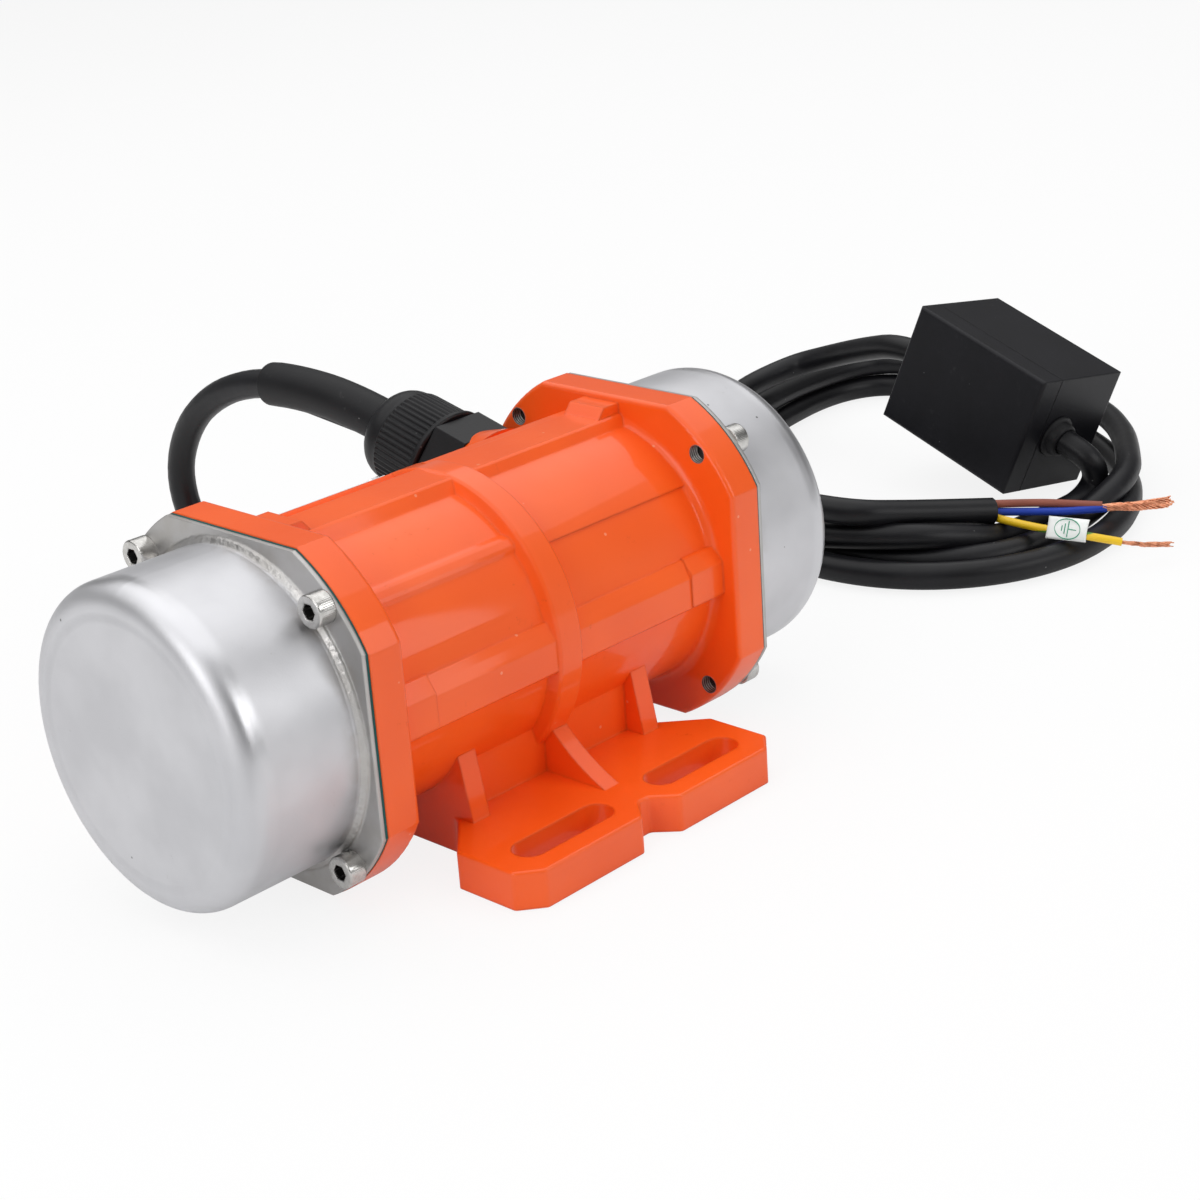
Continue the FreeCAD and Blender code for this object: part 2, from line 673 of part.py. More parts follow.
def hexagon_gland(across_flats, start, end):
    corner = across_flats / math.sqrt(3)
    axis = gland_axis()
    across = Vector(0, -axis.z, axis.y)
    points = []
    for k in range(6):
        angle = math.radians(60 * k)
        points.append(gland_point(start) + X_AXIS * (corner * math.cos(angle))
                      + across * (corner * math.sin(angle)))
    return polygon_face(points).extrude(axis * (end - start))


def gland_body():
    """Threaded body: hexagon on the boss, thread in the housing, clamping throat."""
    thread = gland_cylinder(THREAD_R - 0.04, -5.8, GLAND_SEAT + 0.1)
    collar = gland_cylinder(13.4, GLAND_SEAT, GLAND_SEAT + 1.6)
    hexagon = hexagon_gland(23.6, GLAND_SEAT + 1.5, HEX_END - 0.6)
    hexagon = hexagon.common(gland_cylinder(13.2, GLAND_SEAT + 1.5, HEX_END))
    throat = gland_cylinder(9.6, 0.0, 20.0)
    body = fuse_all([thread, collar, hexagon, throat])
    body = body.cut(gland_cylinder(CABLE_R + 0.4, -9.0, 8.0))
    return body.cut(gland_cylinder(7.4, 8.0, 21.0))


def gland_seal():
    return gland_cylinder(7.35, 8.05, 21.5).cut(gland_cylinder(CABLE_R + 0.02, 7.0, 23.0))


def gland_nut():
    """Ribbed dome nut with a rim at its lower end."""
    rim = gland_cylinder(14.6, NUT_START, KNURL_START)
    barrel = gland_cylinder(13.7, KNURL_START, KNURL_END)
    dome = gland_cylinder(13.7, KNURL_END, NUT_END)
    edge = [e for e in dome.Edges if (e.CenterOfMass - gland_point(NUT_END)).Length < 0.01]
    dome = dome.makeFillet(6.5, edge[:1])
    nut = fuse_all([rim, barrel, dome])
    nut = nut.cut(gland_cylinder(9.75, NUT_START - 1, 21.6))
    return nut.cut(gland_cylinder(SLEEVE_R + 0.35, 21.0, NUT_END + 1))


# ------------------------------------------------------------- cords

SLEEVE_R = 6.6
SLEEVE_START = 22.0      # along the gland axis

CABLE_ROUTE = [(38.0, 35.06, 71.3), (38.0, 73.99, 81.73), (38.0, 114.0, 86.6), (38.0, 143.0, 80.0),
               (38.0, 164.5, 65.5), (38.0, 175.0, 44.0), (40.0, 168.0, 20.0), (52.0, 150.0, 6.2),
               (76.0, 129.0, FLOOR_Z), (114.0, 112.5, FLOOR_Z), (151.0, 87.0, FLOOR_Z),
               (177.0, 55.5, FLOOR_Z)]
BOX_LEAD_ROUTE = [(190.0, 26.0, FLOOR_Z), (212.0, 3.0, FLOOR_Z), (236.0, -15.6, FLOOR_Z),
                  (255.9, -26.9, 6.0), (266.0, -29.4, 12.0), (272.7, -23.9, 20.4),
                  (274.14, -10.68, 24.84)]
SUPPLY_ROUTE = [(280.35, 44.71, 43.27), (282.35, 62.6, 49.2), (290.5, 84.0, 43.5),
                (296.5, 105.0, 33.0), (289.0, 124.0, 23.5)]
TAIL_ROUTE = [(185.0, 14.0, 20.6), (196.0, 1.0, 19.0), (210.0, -9.0, 16.0), (226.6, -17.0, 12.9)]


def rounded_path(route, name):
    """Straight runs joined by tangent arcs, as one wire. Prints the arc radii."""
    points = [Vector(*p) for p in route]
    edges = []
    radii = []
    start = points[0]
    for before, corner, after in zip(points, points[1:], points[2:]):
        back = before - corner
        ahead = after - corner
        turn = math.pi - back.getAngle(ahead)
        reach = 0.45 * min(back.Length, ahead.Length)
        radius = reach / math.tan(turn / 2)
        radii.append(radius)
        arc_start = corner + back.normalize() * reach
        arc_end = corner + ahead.normalize() * reach
        inward = (back + ahead).normalize()
        middle = corner + inward * (radius / math.cos(turn / 2) - radius)
        edges.append(line_edge(start, arc_start))
        edges.append(arc_edge(arc_start, middle, arc_end))
        start = arc_end
    edges.append(line_edge(start, points[-1]))
    print(name, "arc radii", [round(r, 1) for r in radii])
    return Part.Wire(edges)


def tube(path, radius):
    """Round solid along a wire, checked against section times length."""
    first = path.Edges[0]
    start = first.valueAt(first.FirstParameter)
    direction = first.tangentAt(first.FirstParameter)
    circle = Part.Wire(Part.makeCircle(radius, start, direction))
    solid = path.makePipeShell([circle], True, False)
    expected = math.pi * radius ** 2 * path.Length
    print("  length", round(path.Length, 1), "volume ratio", round(solid.Volume / expected, 4))
    return solid


def motor_cable():
    return tube(rounded_path(CABLE_ROUTE, "motor_cable"), CABLE_R)


def cable_sleeve():
    """Rubber bend relief over the first bend of the cable."""
    path = rounded_path(CABLE_ROUTE[:4], "cable_sleeve")
    outer = tube(path, SLEEVE_R)
    inner = tube(path, CABLE_R + CABLE_GAP)
    sleeve = outer.cut(inner)
    before = gland_cylinder(30.0, -20.0, SLEEVE_START)
    after = Part.makeBox(80, 60, 80, Vector(0, 121.5, 50))
    return sleeve.cut(before).cut(after)


# Oval of the loose coil, as a formula for the middle of its outer turn.
COIL_CENTRE = (278.6, 55.9)
COIL_TURN = 0.758
COIL_A = 109.8
COIL_B = 66.0
COIL_TAPER = -0.486
COIL_SHIFT = -13.6
COIL_OUT = CABLE_R + 1.5
COIL_IN = 13.6
COIL_TOP = 27.4
COIL_LOW_TOP = 9.0
COIL_POINTS = 24


def coil_point(angle, inward):
    """A point of the oval, moved inwards by a distance."""
    def place(t):
        x = COIL_A * math.cos(t) + COIL_SHIFT * math.cos(2 * t)
        y = COIL_B * math.sin(t) * (1 + COIL_TAPER * math.cos(t))
        return Vector(COIL_CENTRE[0] + x * math.cos(COIL_TURN) - y * math.sin(COIL_TURN),
                      COIL_CENTRE[1] + x * math.sin(COIL_TURN) + y * math.cos(COIL_TURN), 0)
    step = 0.001
    ahead = (place(angle + step) - place(angle - step)).normalize()
    return place(angle) + Vector(-ahead.y, ahead.x, 0) * inward


def coil_loop(inward):
    curve = Part.BSplineCurve()
    points = [coil_point(2 * math.pi * k / COIL_POINTS, inward) for k in range(COIL_POINTS)]
    curve.interpolate(Points=points, PeriodicFlag=True)
    return Part.Face(Part.Wire(curve.toShape()))


def cable_coil():
    """Outer shape of the stacked turns, lower on the side that faces the box."""
    ring = coil_loop(-COIL_OUT).extrude(Vector(0, 0, COIL_TOP))
    hole = coil_loop(COIL_IN).extrude(Vector(0, 0, COIL_TOP + 2))
    hole.translate(Vector(0, 0, -1))
    middle = Vector(*COIL_CENTRE, COIL_LOW_TOP)
    low_side = polygon_face([middle, middle + Vector(-210, -270, 0), middle + Vector(300, -300, 0),
                             middle + Vector(300, 50, 0)])
    coil = ring.cut(hole).cut(low_side.extrude(Vector(0, 0, COIL_TOP)))
    coil.translate(Vector(0, 0, 0.1))
    room = case_box(-0.4, CASE_LENGTH + 0.4, -0.4, CASE_DEPTH + 0.4, -CASE_HEIGHT - 0.4, 0.4)
    return coil.cut(in_case(room))


def box_lead():
    return tube(rounded_path(BOX_LEAD_ROUTE, "box_lead"), CABLE_R)


def supply_lead():
    return tube(rounded_path(SUPPLY_ROUTE, "supply_lead"), CABLE_R)


def supply_tail():
    return tube(rounded_path(TAIL_ROUTE, "supply_tail"), CABLE_R)


# ------------------------------------------------------------- capacitor box

def in_case(shape):
    """Place a shape made at the box's front top left corner."""
    shape.Placement = Placement(CASE_CORNER, CASE_TURN).multiply(shape.Placement)
    return shape


def case_box(x0, x1, y0, y1, z0, z1):
    return Part.makeBox(x1 - x0, y1 - y0, z1 - z0, Vector(x0, y0, z0))


def entry_hole(radius):
    start = GROMMET_IN + Vector(-1, 0, 0)
    return Part.makeCylinder(radius, CASE_LENGTH + 2, start, X_AXIS)


def capacitor_case():
    outer = case_box(0, CASE_LENGTH, LID_DEPTH, CASE_DEPTH, -CASE_HEIGHT, 0)
    vertical = [e for e in outer.Edges if e.BoundBox.YMin > CASE_DEPTH - 0.01]
    outer = outer.makeFillet(1.2, vertical)
    inner = case_box(CASE_WALL, CASE_LENGTH - CASE_WALL, LID_DEPTH - 1, CASE_DEPTH - CASE_WALL,
                     -CASE_HEIGHT + CASE_WALL, -CASE_WALL)
    return in_case(outer.cut(inner).cut(entry_hole(6.0)))


def capacitor_lid():
    outer = case_box(0, CASE_LENGTH, 0, LID_DEPTH, -CASE_HEIGHT, 0)
    front = [e for e in outer.Edges if e.BoundBox.YMax < 0.01]
    outer = outer.makeFillet(1.2, front)
    inner = case_box(CASE_WALL, CASE_LENGTH - CASE_WALL, CASE_WALL, LID_DEPTH + 1,
                     -CASE_HEIGHT + CASE_WALL, -CASE_WALL)
    return in_case(outer.cut(inner))


def case_grommets():
    """Rubber bushes in the two cable entries."""
    rings = []
    for x_face, outward in ((0.0, -1), (CASE_LENGTH, 1)):
        centre = Vector(x_face, GROMMET_IN.y, GROMMET_IN.z)
        core = Part.makeCylinder(5.95, CASE_WALL + 3.0, centre - X_AXIS * (outward * (CASE_WALL + 1.5)),
                                 X_AXIS * outward)
        lip = Part.makeCylinder(7.6, 1.5, centre, X_AXIS * outward)
        lip = lip.makeFillet(0.7, [e for e in lip.Edges
                                   if abs(e.CenterOfMass.x - x_face - outward * 1.5) < 0.01][:1])
        bush = core.fuse(lip).removeSplitter()
        bore = Part.makeCylinder(CABLE_R + 0.02, 10.0, centre - X_AXIS * (outward * 5.0), X_AXIS * outward)
        rings.append(in_case(bush.cut(bore)))
    return Part.makeCompound(rings)


def run_capacitor():
    """Boxed film capacitor with two short terminals."""
    body = case_box(6.0, 52.5, 14.0, 36.0, -40.0, -8.5)
    body = body.makeFillet(1.5, body.Edges)
    shapes = [body]
    for x in (20.0, 38.0):
        shapes.append(case_box(x - 3.0, x + 3.0, 24.6, 25.4, -9.0, -4.0))
    return in_case(fuse_all(shapes))


# ------------------------------------------------------------- stripped cores

TAIL_END = Vector(*TAIL_ROUTE[-1])
TAIL_HEADING = (TAIL_END - Vector(*TAIL_ROUTE[-2])).normalize()


def core_tube(route, radius, name):
    return tube(rounded_path(route, name), radius)


BROWN_ROUTE = [(228.2, -16.4, 14.9), (236.8, -28.0, 14.6), (243.0, -37.0, 14.1), (246.6, -43.6, 13.6)]
BLUE_ROUTE = [(226.4, -18.4, 12.7), (235.0, -30.0, 12.4), (241.6, -38.6, 12.3), (247.0, -45.2, 12.3)]
EARTH_ROUTE = [(225.2, -18.6, 10.9), (222.4, -31.0, 11.8), (223.0, -46.0, 12.6), (225.0, -60.0, 11.6)]
LIVE_ROUTE = [(247.2, -45.8, 12.9), (252.0, -51.4, 13.4), (257.6, -56.8, 12.8), (263.6, -61.7, 13.2)]
EARTH_END_ROUTE = [(225.1, -60.7, 11.5), (229.0, -65.6, 10.4), (238.6, -67.0, 6.6), (247.9, -71.4, 5.0)]


def brown_wire():
    return core_tube(BROWN_ROUTE, CORE_R, "brown_wire")


def blue_wire():
    return core_tube(BLUE_ROUTE, CORE_R, "blue_wire")


def earth_wire():
    return core_tube(EARTH_ROUTE, CORE_R, "earth_wire")


def live_strands():
    return core_tube(LIVE_ROUTE, 1.6, "live_strands")


def earth_strands():
    return core_tube(EARTH_END_ROUTE, 0.8, "earth_strands")


def earth_tag():
    """Paper flag folded round the earth wire."""
    heading = (Vector(*EARTH_ROUTE[3]) - Vector(*EARTH_ROUTE[2])).normalize()
    middle = Vector(*EARTH_ROUTE[2]) + heading * 2.0 + Vector(0, 0, 0.8)
    side = heading.cross(Vector(0, 0, 1)).normalize()
    up = side.cross(heading)
    half_length, half_width, thick = 7.5, 3.9, 0.25
    corners = [middle + heading * (a * half_length) + up * (b * half_width)
               for a, b in ((-1, -1), (1, -1), (1, 1), (-1, 1))]
    flag = polygon_face([c + side * (CORE_R + thick + 0.05) for c in corners])
    return flag.extrude(side * -thick)


PIECES = {
    "housing": housing,
    "nameplate": nameplate,
    "nameplate_rivets": nameplate_rivets,
    "rear_cover": cover,
    "front_cover": lambda: to_front(cover()),
    "rear_gasket": gasket,
    "front_gasket": lambda: to_front(gasket()),
    "cover_screws": cover_screws,
    "rear_end_shield": lambda: end_shield(BEARING_IN - 1.0),
    "front_end_shield": lambda: to_front(end_shield(BEARING_IN)),
    "end_shield_screws": end_shield_screws,
    "rear_outer_race": outer_race,
    "front_outer_race": lambda: to_front(outer_race()),
    "rear_inner_race": inner_race,
    "front_inner_race": lambda: to_front(inner_race()),
    "rear_balls": balls,
    "front_balls": lambda: to_front(balls()),
    "rear_cage": cage,
    "front_cage": lambda: to_front(cage()),
    "bearing_retainers": bearing_retainers,
    "wave_spring": wave_spring,
    "stator_core": stator_core,
    "stator_winding": stator_winding,
    "lead_wires": lead_wires,
    "rotor_core": rotor_core,
    "rotor_cage": rotor_cage,
    "shaft": shaft,
    "weight_keys": weight_keys,
    "rear_fixed_weight": fixed_weight,
    "front_fixed_weight": lambda: to_front(fixed_weight()),
    "fixed_clamp_bolts": lambda: both_ends([clamp_bolt(FIXED_IN)]),
    "rear_adjustable_weight": loose_weight,
    "front_adjustable_weight": lambda: to_front(loose_weight()),
    "rear_adjusting_bolt": lambda: clamp_bolt(LOOSE_IN),
    "front_adjusting_bolt": lambda: to_front(clamp_bolt(LOOSE_IN)),
    "shaft_retainers": shaft_retainers,
    "gland_body": gland_body,
    "gland_seal": gland_seal,
    "gland_nut": gland_nut,
    "cable_sleeve": cable_sleeve,
    "motor_cable": motor_cable,
    "cable_coil": cable_coil,
    "box_lead": box_lead,
    "supply_lead": supply_lead,
    "supply_tail": supply_tail,
    "capacitor_case": capacitor_case,
    "capacitor_lid": capacitor_lid,
    "case_grommets": case_grommets,
    "run_capacitor": run_capacitor,
    "brown_wire": brown_wire,
    "blue_wire": blue_wire,
    "earth_wire": earth_wire,
    "live_strands": live_strands,
    "earth_strands": earth_strands,
    "earth_tag": earth_tag,
}

for node, make in PIECES.items():
    shape = make()
    if not shape.isValid():
        print("not valid:", node)
    shape.exportStep("parts/" + node + ".step")
    print(node, "solids", len(shape.Solids), "volume", round(shape.Volume, 1))
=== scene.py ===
import math

import bpy
from mathutils import Matrix, Vector


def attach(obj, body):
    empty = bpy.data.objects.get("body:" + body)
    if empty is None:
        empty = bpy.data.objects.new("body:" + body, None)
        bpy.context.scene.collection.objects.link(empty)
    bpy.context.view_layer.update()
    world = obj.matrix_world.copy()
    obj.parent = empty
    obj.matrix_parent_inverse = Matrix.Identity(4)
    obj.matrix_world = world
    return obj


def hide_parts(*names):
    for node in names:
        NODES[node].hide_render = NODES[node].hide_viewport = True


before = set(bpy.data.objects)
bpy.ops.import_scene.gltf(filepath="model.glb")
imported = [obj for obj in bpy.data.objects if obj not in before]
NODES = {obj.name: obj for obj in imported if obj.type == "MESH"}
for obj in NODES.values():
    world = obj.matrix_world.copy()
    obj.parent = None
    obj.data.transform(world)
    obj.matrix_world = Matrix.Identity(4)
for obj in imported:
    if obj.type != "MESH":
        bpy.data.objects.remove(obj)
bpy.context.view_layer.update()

# Looks of the vibration motor, in metres, in the frame of its solids.
# X runs along the shaft, +Y is the gland side, Z is up from the foot's underside.

AXIS_Z = 0.0477             # height of the shaft
SCREW_OFFSET = 0.0341       # a cover screw's distance from the shaft, both across and up
CABLE_R = 0.0045
CORE_R = 0.00135


def mm(*values):
    return Vector([v / 1000 for v in values])


# ---------------------------------------------------------------- camera

def place_camera():
    lens = bpy.data.cameras.new("view")
    lens.lens = 70.1
    lens.sensor_width = 36.0
    lens.clip_start = 0.01
    camera = bpy.data.objects.new("view", lens)
    bpy.context.collection.objects.link(camera)
    right = Vector((0.67980, -0.73043, -0.06593))
    up = Vector((0.30771, 0.20246, 0.92969))
    back = right.cross(up)
    turn = Matrix((right, up, back)).transposed().to_4x4()
    camera.matrix_world = Matrix.Translation(mm(-391.98, -436.78, 276.65)) @ turn
    bpy.context.scene.camera = camera


place_camera()


# ------------------------------------------------- node sums for the finishes

# Outputs of Blender's own nodes, by number.
OBJECT_COORDINATES = 3
CAMERA_RAY = 0
GLOSSY_RAY = 3
MIXED_COLOUR = 2


class Value:
    """A number or colour on its way through a finish."""

    def __init__(self, tree, socket):
        self.tree = tree
        self.socket = socket

    def sum(self, operation, *others):
        return self.tree.sum(operation, self, *others)

    def __add__(self, other):
        return self.sum("ADD", other)

    __radd__ = __add__

    def __mul__(self, other):
        return self.sum("MULTIPLY", other)

    def __sub__(self, other):
        return self.sum("SUBTRACT", other)

    def __rsub__(self, other):
        return self.tree.sum("SUBTRACT", other, self)

    def __abs__(self):
        return self.sum("ABSOLUTE")

    def power(self, other):
        return self.sum("POWER", other)

    def sine(self):
        return self.sum("SINE")

    def band(self, rise, fall):
        """1 from the end of the rise to the start of the fall, 0 outside both."""
        return self.step(*rise) * (1 - self.step(*fall))

    def step(self, low, high):
        """0 below low, 1 above high, smooth between."""
        return self.tree.node("ShaderNodeMapRange", {"interpolation_type": "SMOOTHSTEP"},
                              {"Value": self, "From Min": low, "From Max": high})


class NodeTree:
    """Adds nodes to the tree of a material or of the world."""

    def __init__(self, tree):
        self.tree = tree

    def node(self, kind, settings=None, inputs=None, output=0):
        """Add a node, with its settings first and then the values or links of its sockets."""
        new = self.tree.nodes.new(kind)
        for key, value in (settings or {}).items():
            if key == "stops":
                self.set_stops(new.color_ramp.elements, value)
            else:
                setattr(new, key, value)
        for key, value in (inputs or {}).items():
            self.feed(new.inputs[key], value)
        return Value(self, new.outputs[output])

    def set_stops(self, stops, wanted):
        for position, _ in wanted[1:-1]:
            stops.new(position)
        for stop, (position, colour) in zip(stops, wanted):
            stop.position = position
            stop.color = (*colour, 1.0)

    def feed(self, socket, value):
        if isinstance(value, Value):
            self.tree.links.new(value.socket, socket)
        elif isinstance(value, tuple) and len(value) == 3 and socket.type == "RGBA":
            socket.default_value = (*value, 1.0)
        else:
            socket.default_value = value

    def sum(self, operation, *values):
        return self.node("ShaderNodeMath", {"operation": operation}, dict(enumerate(values)))


class Finish(NodeTree):
    """One material. Its varying looks are built from node sums."""

    def __init__(self, name, **constants):
        self.material = bpy.data.materials.new(name)
        self.material.use_nodes = True
        super().__init__(self.material.node_tree)
        self.shader = self.tree.nodes["Principled BSDF"]
        for key, value in constants.items():
            self.feed(self.shader.inputs[key.replace("_", " ")], value)

    def place(self):
        """The point on the surface, in the frame of its piece."""
        return self.node("ShaderNodeTexCoord", output=OBJECT_COORDINATES)

    def axes(self):
        where = self.place()
        return [self.node("ShaderNodeSeparateXYZ", None, {0: where}, output=k) for k in range(3)]

    def noise(self, size, detail=3.0, roughness=0.55, stretch=None):
        """Cloudy noise whose blobs are about size metres across."""
        where = self.place()
        if stretch:
            where = self.node("ShaderNodeVectorMath", {"operation": "MULTIPLY"}, {0: where, 1: stretch})
        return self.node("ShaderNodeTexNoise", None,
                         {"Vector": where, "Scale": 1 / size, "Detail": detail, "Roughness": roughness})

    def spots(self, spacing, reach):
        """1 in small scattered spots, 0 elsewhere."""
        cells = self.node("ShaderNodeTexVoronoi", None, {"Vector": self.place(), "Scale": 1 / spacing})
        return 1 - cells.step(reach * 0.5, reach)

    def blend(self, amount, first, second):
        return self.node("ShaderNodeMix", {"data_type": "RGBA"}, {0: amount, 6: first, 7: second},
                         output=MIXED_COLOUR)

    def rounded(self, radius):
        """Normal with the edges eased by a small radius."""
        return self.node("ShaderNodeBevel", {"samples": 6}, {"Radius": radius})

    def bump(self, height, depth, normal=None, strength=1.0):
        inputs = {"Height": height, "Distance": depth, "Strength": strength}
        if normal:
            inputs["Normal"] = normal
        return self.node("ShaderNodeBump", None, inputs)

    def set(self, **values):
        for key, value in values.items():
            self.feed(self.shader.inputs[key.replace("_", " ")], value)
        return self.material


def from_shaft(finish):
    """Distance from the shaft's axis, and the place along it."""
    x, y, z = finish.axes()
    up = z - AXIS_Z
    return (y * y + up * up).power(0.5), x


def from_screws(finish):
    """Distance from the nearest cover screw's axis, the place along it, and the two offsets."""
    x, y, z = finish.axes()
    across = abs(y) - SCREW_OFFSET
    above = abs(z - AXIS_Z) - SCREW_OFFSET
    return (across * across + above * above).power(0.5), x, across, above


def ripples(distance, pitch):
    """Wave from 0 to 1 that repeats every pitch metres."""
    return (distance * (2 * math.pi / pitch)).sine() * 0.5 + 0.5


# ---------------------------------------------------------------- finishes

def orange_paint():
    """Glossy paint of the housing, with bare threads in the cover screws' holes, painted nearly black as
    shade in the recess except along the thread crests.
    """
    f = Finish("orange_paint", Specular_IOR_Level=0.25, Coat_Roughness=0.06, Coat_IOR=1.5)
    radius, along_shaft = from_screws(f)[:2]
    out = abs(along_shaft)
    clouds = f.noise(0.05, 2.0)
    fine = f.noise(0.006, 4.0)
    colour = f.blend(clouds.step(0.35, 0.65), (0.90, 0.104, 0.007), (0.97, 0.124, 0.010))
    grime = f.noise(0.003, 5.0, 0.7).step(0.60, 0.74) * f.noise(0.03, 2.0).step(0.52, 0.66)
    colour = f.blend(grime * 0.35, colour, (0.40, 0.045, 0.006))
    dust = f.spots(0.011, 0.05)
    colour = f.blend(dust * 0.55, colour, (0.95, 0.42, 0.25))
    # Painted shade: inside the cover screws' holes the bare steel is coloured nearly black, as shade in the
    # recess, and only the thread crests keep a steel grey.
    hole = (1 - radius.step(0.00255, 0.00275)) * out.step(0.0598, 0.0602)
    thread = ripples(along_shaft, 0.0008)
    colour = f.blend(hole, colour, (0.06, 0.055, 0.05))
    colour = f.blend(hole * thread, colour, (0.62, 0.60, 0.58))
    peel = f.noise(0.0022, 1.0)
    waves = f.noise(0.014, 1.0)
    normal = f.bump(waves, 0.0005, f.rounded(0.0011), 0.35)
    normal = f.bump(peel, 0.00005, normal, 0.5)
    normal = f.bump(thread * hole, 0.0004, normal)
    return f.set(Base_Color=colour, Metallic=hole * 0.9, Coat_Weight=(1 - hole) * (0.5 - grime * 0.3),
                 Roughness=0.36 + fine * 0.10 + grime * 0.2, Normal=normal)


# Where the cover's features start and end, out from the motor's middle and from the shaft's axis.
COVER_FLANGE = (0.0738, 0.0748)
COVER_SHOULDER = (0.0985, 0.1010)
COVER_END_FACE = (0.1040, 0.1060)
WELD_OUT = (0.0722, 0.0730), (0.0742, 0.0752)
WELD_RADIUS = (0.0415, 0.0422), (0.0440, 0.0448)
HEAT_OUT = (0.0705, 0.0725), (0.0745, 0.0800)
HEAT_RADIUS = (0.0400, 0.0415)
PRESSED_STEP = (0.0330, 0.0362)


def satin_stainless():
    """Blasted steel of the covers, with the weld at the flange and its heat tint."""
    f = Finish("satin_stainless", Metallic=1.0, Specular_IOR_Level=0.5)
    r, x = from_shaft(f)
    out = abs(x)
    cloud = f.noise(0.03, 3.0)
    blast = f.noise(0.0006, 2.0)
    weld = out.band(*WELD_OUT) * r.band(*WELD_RADIUS)
    burn = f.noise(0.004, 5.0, 0.7).step(0.45, 0.62)
    scuff = f.noise(0.004, 5.0, 0.75).step(0.62, 0.72) * f.noise(0.018, 2.0).step(0.56, 0.66)
    specks = f.spots(0.016, 0.028)
    colour = f.blend(cloud.step(0.3, 0.7), (0.58, 0.58, 0.60), (0.66, 0.66, 0.68))
    heat = out.band(*HEAT_OUT) * r.step(*HEAT_RADIUS)
    colour = f.blend(heat * f.noise(0.009, 4.0).step(0.40, 0.66) * 0.45, colour, (0.42, 0.39, 0.36))
    colour = f.blend((1 - out.step(*COVER_FLANGE)) * 0.6, colour, (0.44, 0.425, 0.40))
    colour = f.blend(weld * burn * 0.35, colour, (0.46, 0.44, 0.42))
    colour = f.blend(scuff * 0.35, colour, (0.36, 0.35, 0.34))
    colour = f.blend(specks * 0.8, colour, (0.05, 0.05, 0.05))
    face = out.step(*COVER_END_FACE)
    shoulder = out.step(*COVER_SHOULDER) * (1 - face)
    step_in = face * (1 - r.step(*PRESSED_STEP))
    normal = f.bump(step_in, 0.0005, f.rounded(0.0006), 0.7)
    normal = f.bump(f.noise(0.02, 1.0), 0.0006, normal, 0.5)
    normal = f.bump(f.noise(0.0016, 3.0) * weld, 0.0004, normal, 0.8)
    normal = f.bump(blast, 0.00003, normal, 0.6)
    dull = 0.40 + cloud * 0.08 + scuff * 0.12 + blast * 0.05
    return f.set(Base_Color=colour, Normal=normal, Roughness=dull - weld * burn * 0.12 - shoulder * 0.14)


def polished_steel(name, colour, rough):
    """Smooth steel or aluminium with faint wear."""
    f = Finish(name, Metallic=1.0)
    wear = f.noise(0.002, 4.0, 0.7)
    tint = tuple(c * 0.72 for c in colour)
    return f.set(Base_Color=f.blend(wear.step(0.35, 0.75), colour, tint), Roughness=rough + wear * 0.14,
                 Normal=f.bump(f.noise(0.0007, 2.0), 0.00003, f.rounded(0.0003), 0.5))


def turned_steel(name, colour, rough, pitch=0.0004):
    """Steel or iron with fine turning marks in rings round the shaft."""
    f = Finish(name, Metallic=1.0)
    r, x = from_shaft(f)
    marks = ripples(r + x, pitch)
    wear = f.noise(0.005, 5.0, 0.65)
    tint = tuple(c * 0.6 for c in colour)
    return f.set(Base_Color=f.blend(wear.step(0.35, 0.7), colour, tint),
                 Roughness=rough + wear * 0.18, Normal=f.bump(marks, 0.00002, f.rounded(0.0003), 0.5))


def laminated_steel():
    """Stack of thin steel sheets along the shaft."""
    f = Finish("laminated_steel", Metallic=0.85)
    sheets = ripples(f.axes()[0], 0.0010)
    rust = f.noise(0.006, 5.0, 0.7).step(0.55, 0.75)
    colour = f.blend(sheets, (0.16, 0.16, 0.17), (0.34, 0.34, 0.35))
    return f.set(Base_Color=f.blend(rust * 0.5, colour, (0.20, 0.10, 0.05)),
                 Roughness=0.42 + rust * 0.3, Normal=f.bump(sheets, 0.0001))


def winding_copper():
    """Varnished coils of copper wire."""
    f = Finish("winding_copper", Metallic=0.6)
    r, x = from_shaft(f)
    wires = ripples(r + x * 0.35, 0.0009)
    varnish = f.noise(0.008, 4.0)
    colour = f.blend(wires, (0.20, 0.055, 0.02), (0.55, 0.20, 0.08))
    return f.set(Base_Color=f.blend(varnish.step(0.5, 0.8) * 0.5, colour, (0.16, 0.05, 0.015)),
                 Roughness=0.30 + varnish * 0.25, Normal=f.bump(wires, 0.0003))


def moulded(name, colour, rough, grain=0.0009, depth=0.00004, dust=0.25, edge=0.0004):
    """Plastic or rubber with a fine grain, dull patches and a little dust."""
    f = Finish(name, Specular_IOR_Level=0.24)
    patches = f.noise(0.02, 3.0)
    specks = f.spots(0.006, 0.045)
    haze = f.noise(0.004, 5.0, 0.7).step(0.58, 0.76) * patches.step(0.45, 0.65)
    pale = tuple(c * 0.6 + 0.11 for c in colour)
    tone = f.blend(patches.step(0.3, 0.7), colour, tuple(c * 1.35 for c in colour))
    tone = f.blend(haze * dust * 0.6, tone, pale)
    tone = f.blend(specks * dust, tone, tuple(c * 0.5 + 0.30 for c in colour))
    normal = f.bump(f.noise(grain, 2.0), depth, f.rounded(edge), 0.6)
    return f.set(Base_Color=tone, Roughness=rough + patches * 0.10 + haze * 0.12, Normal=normal)


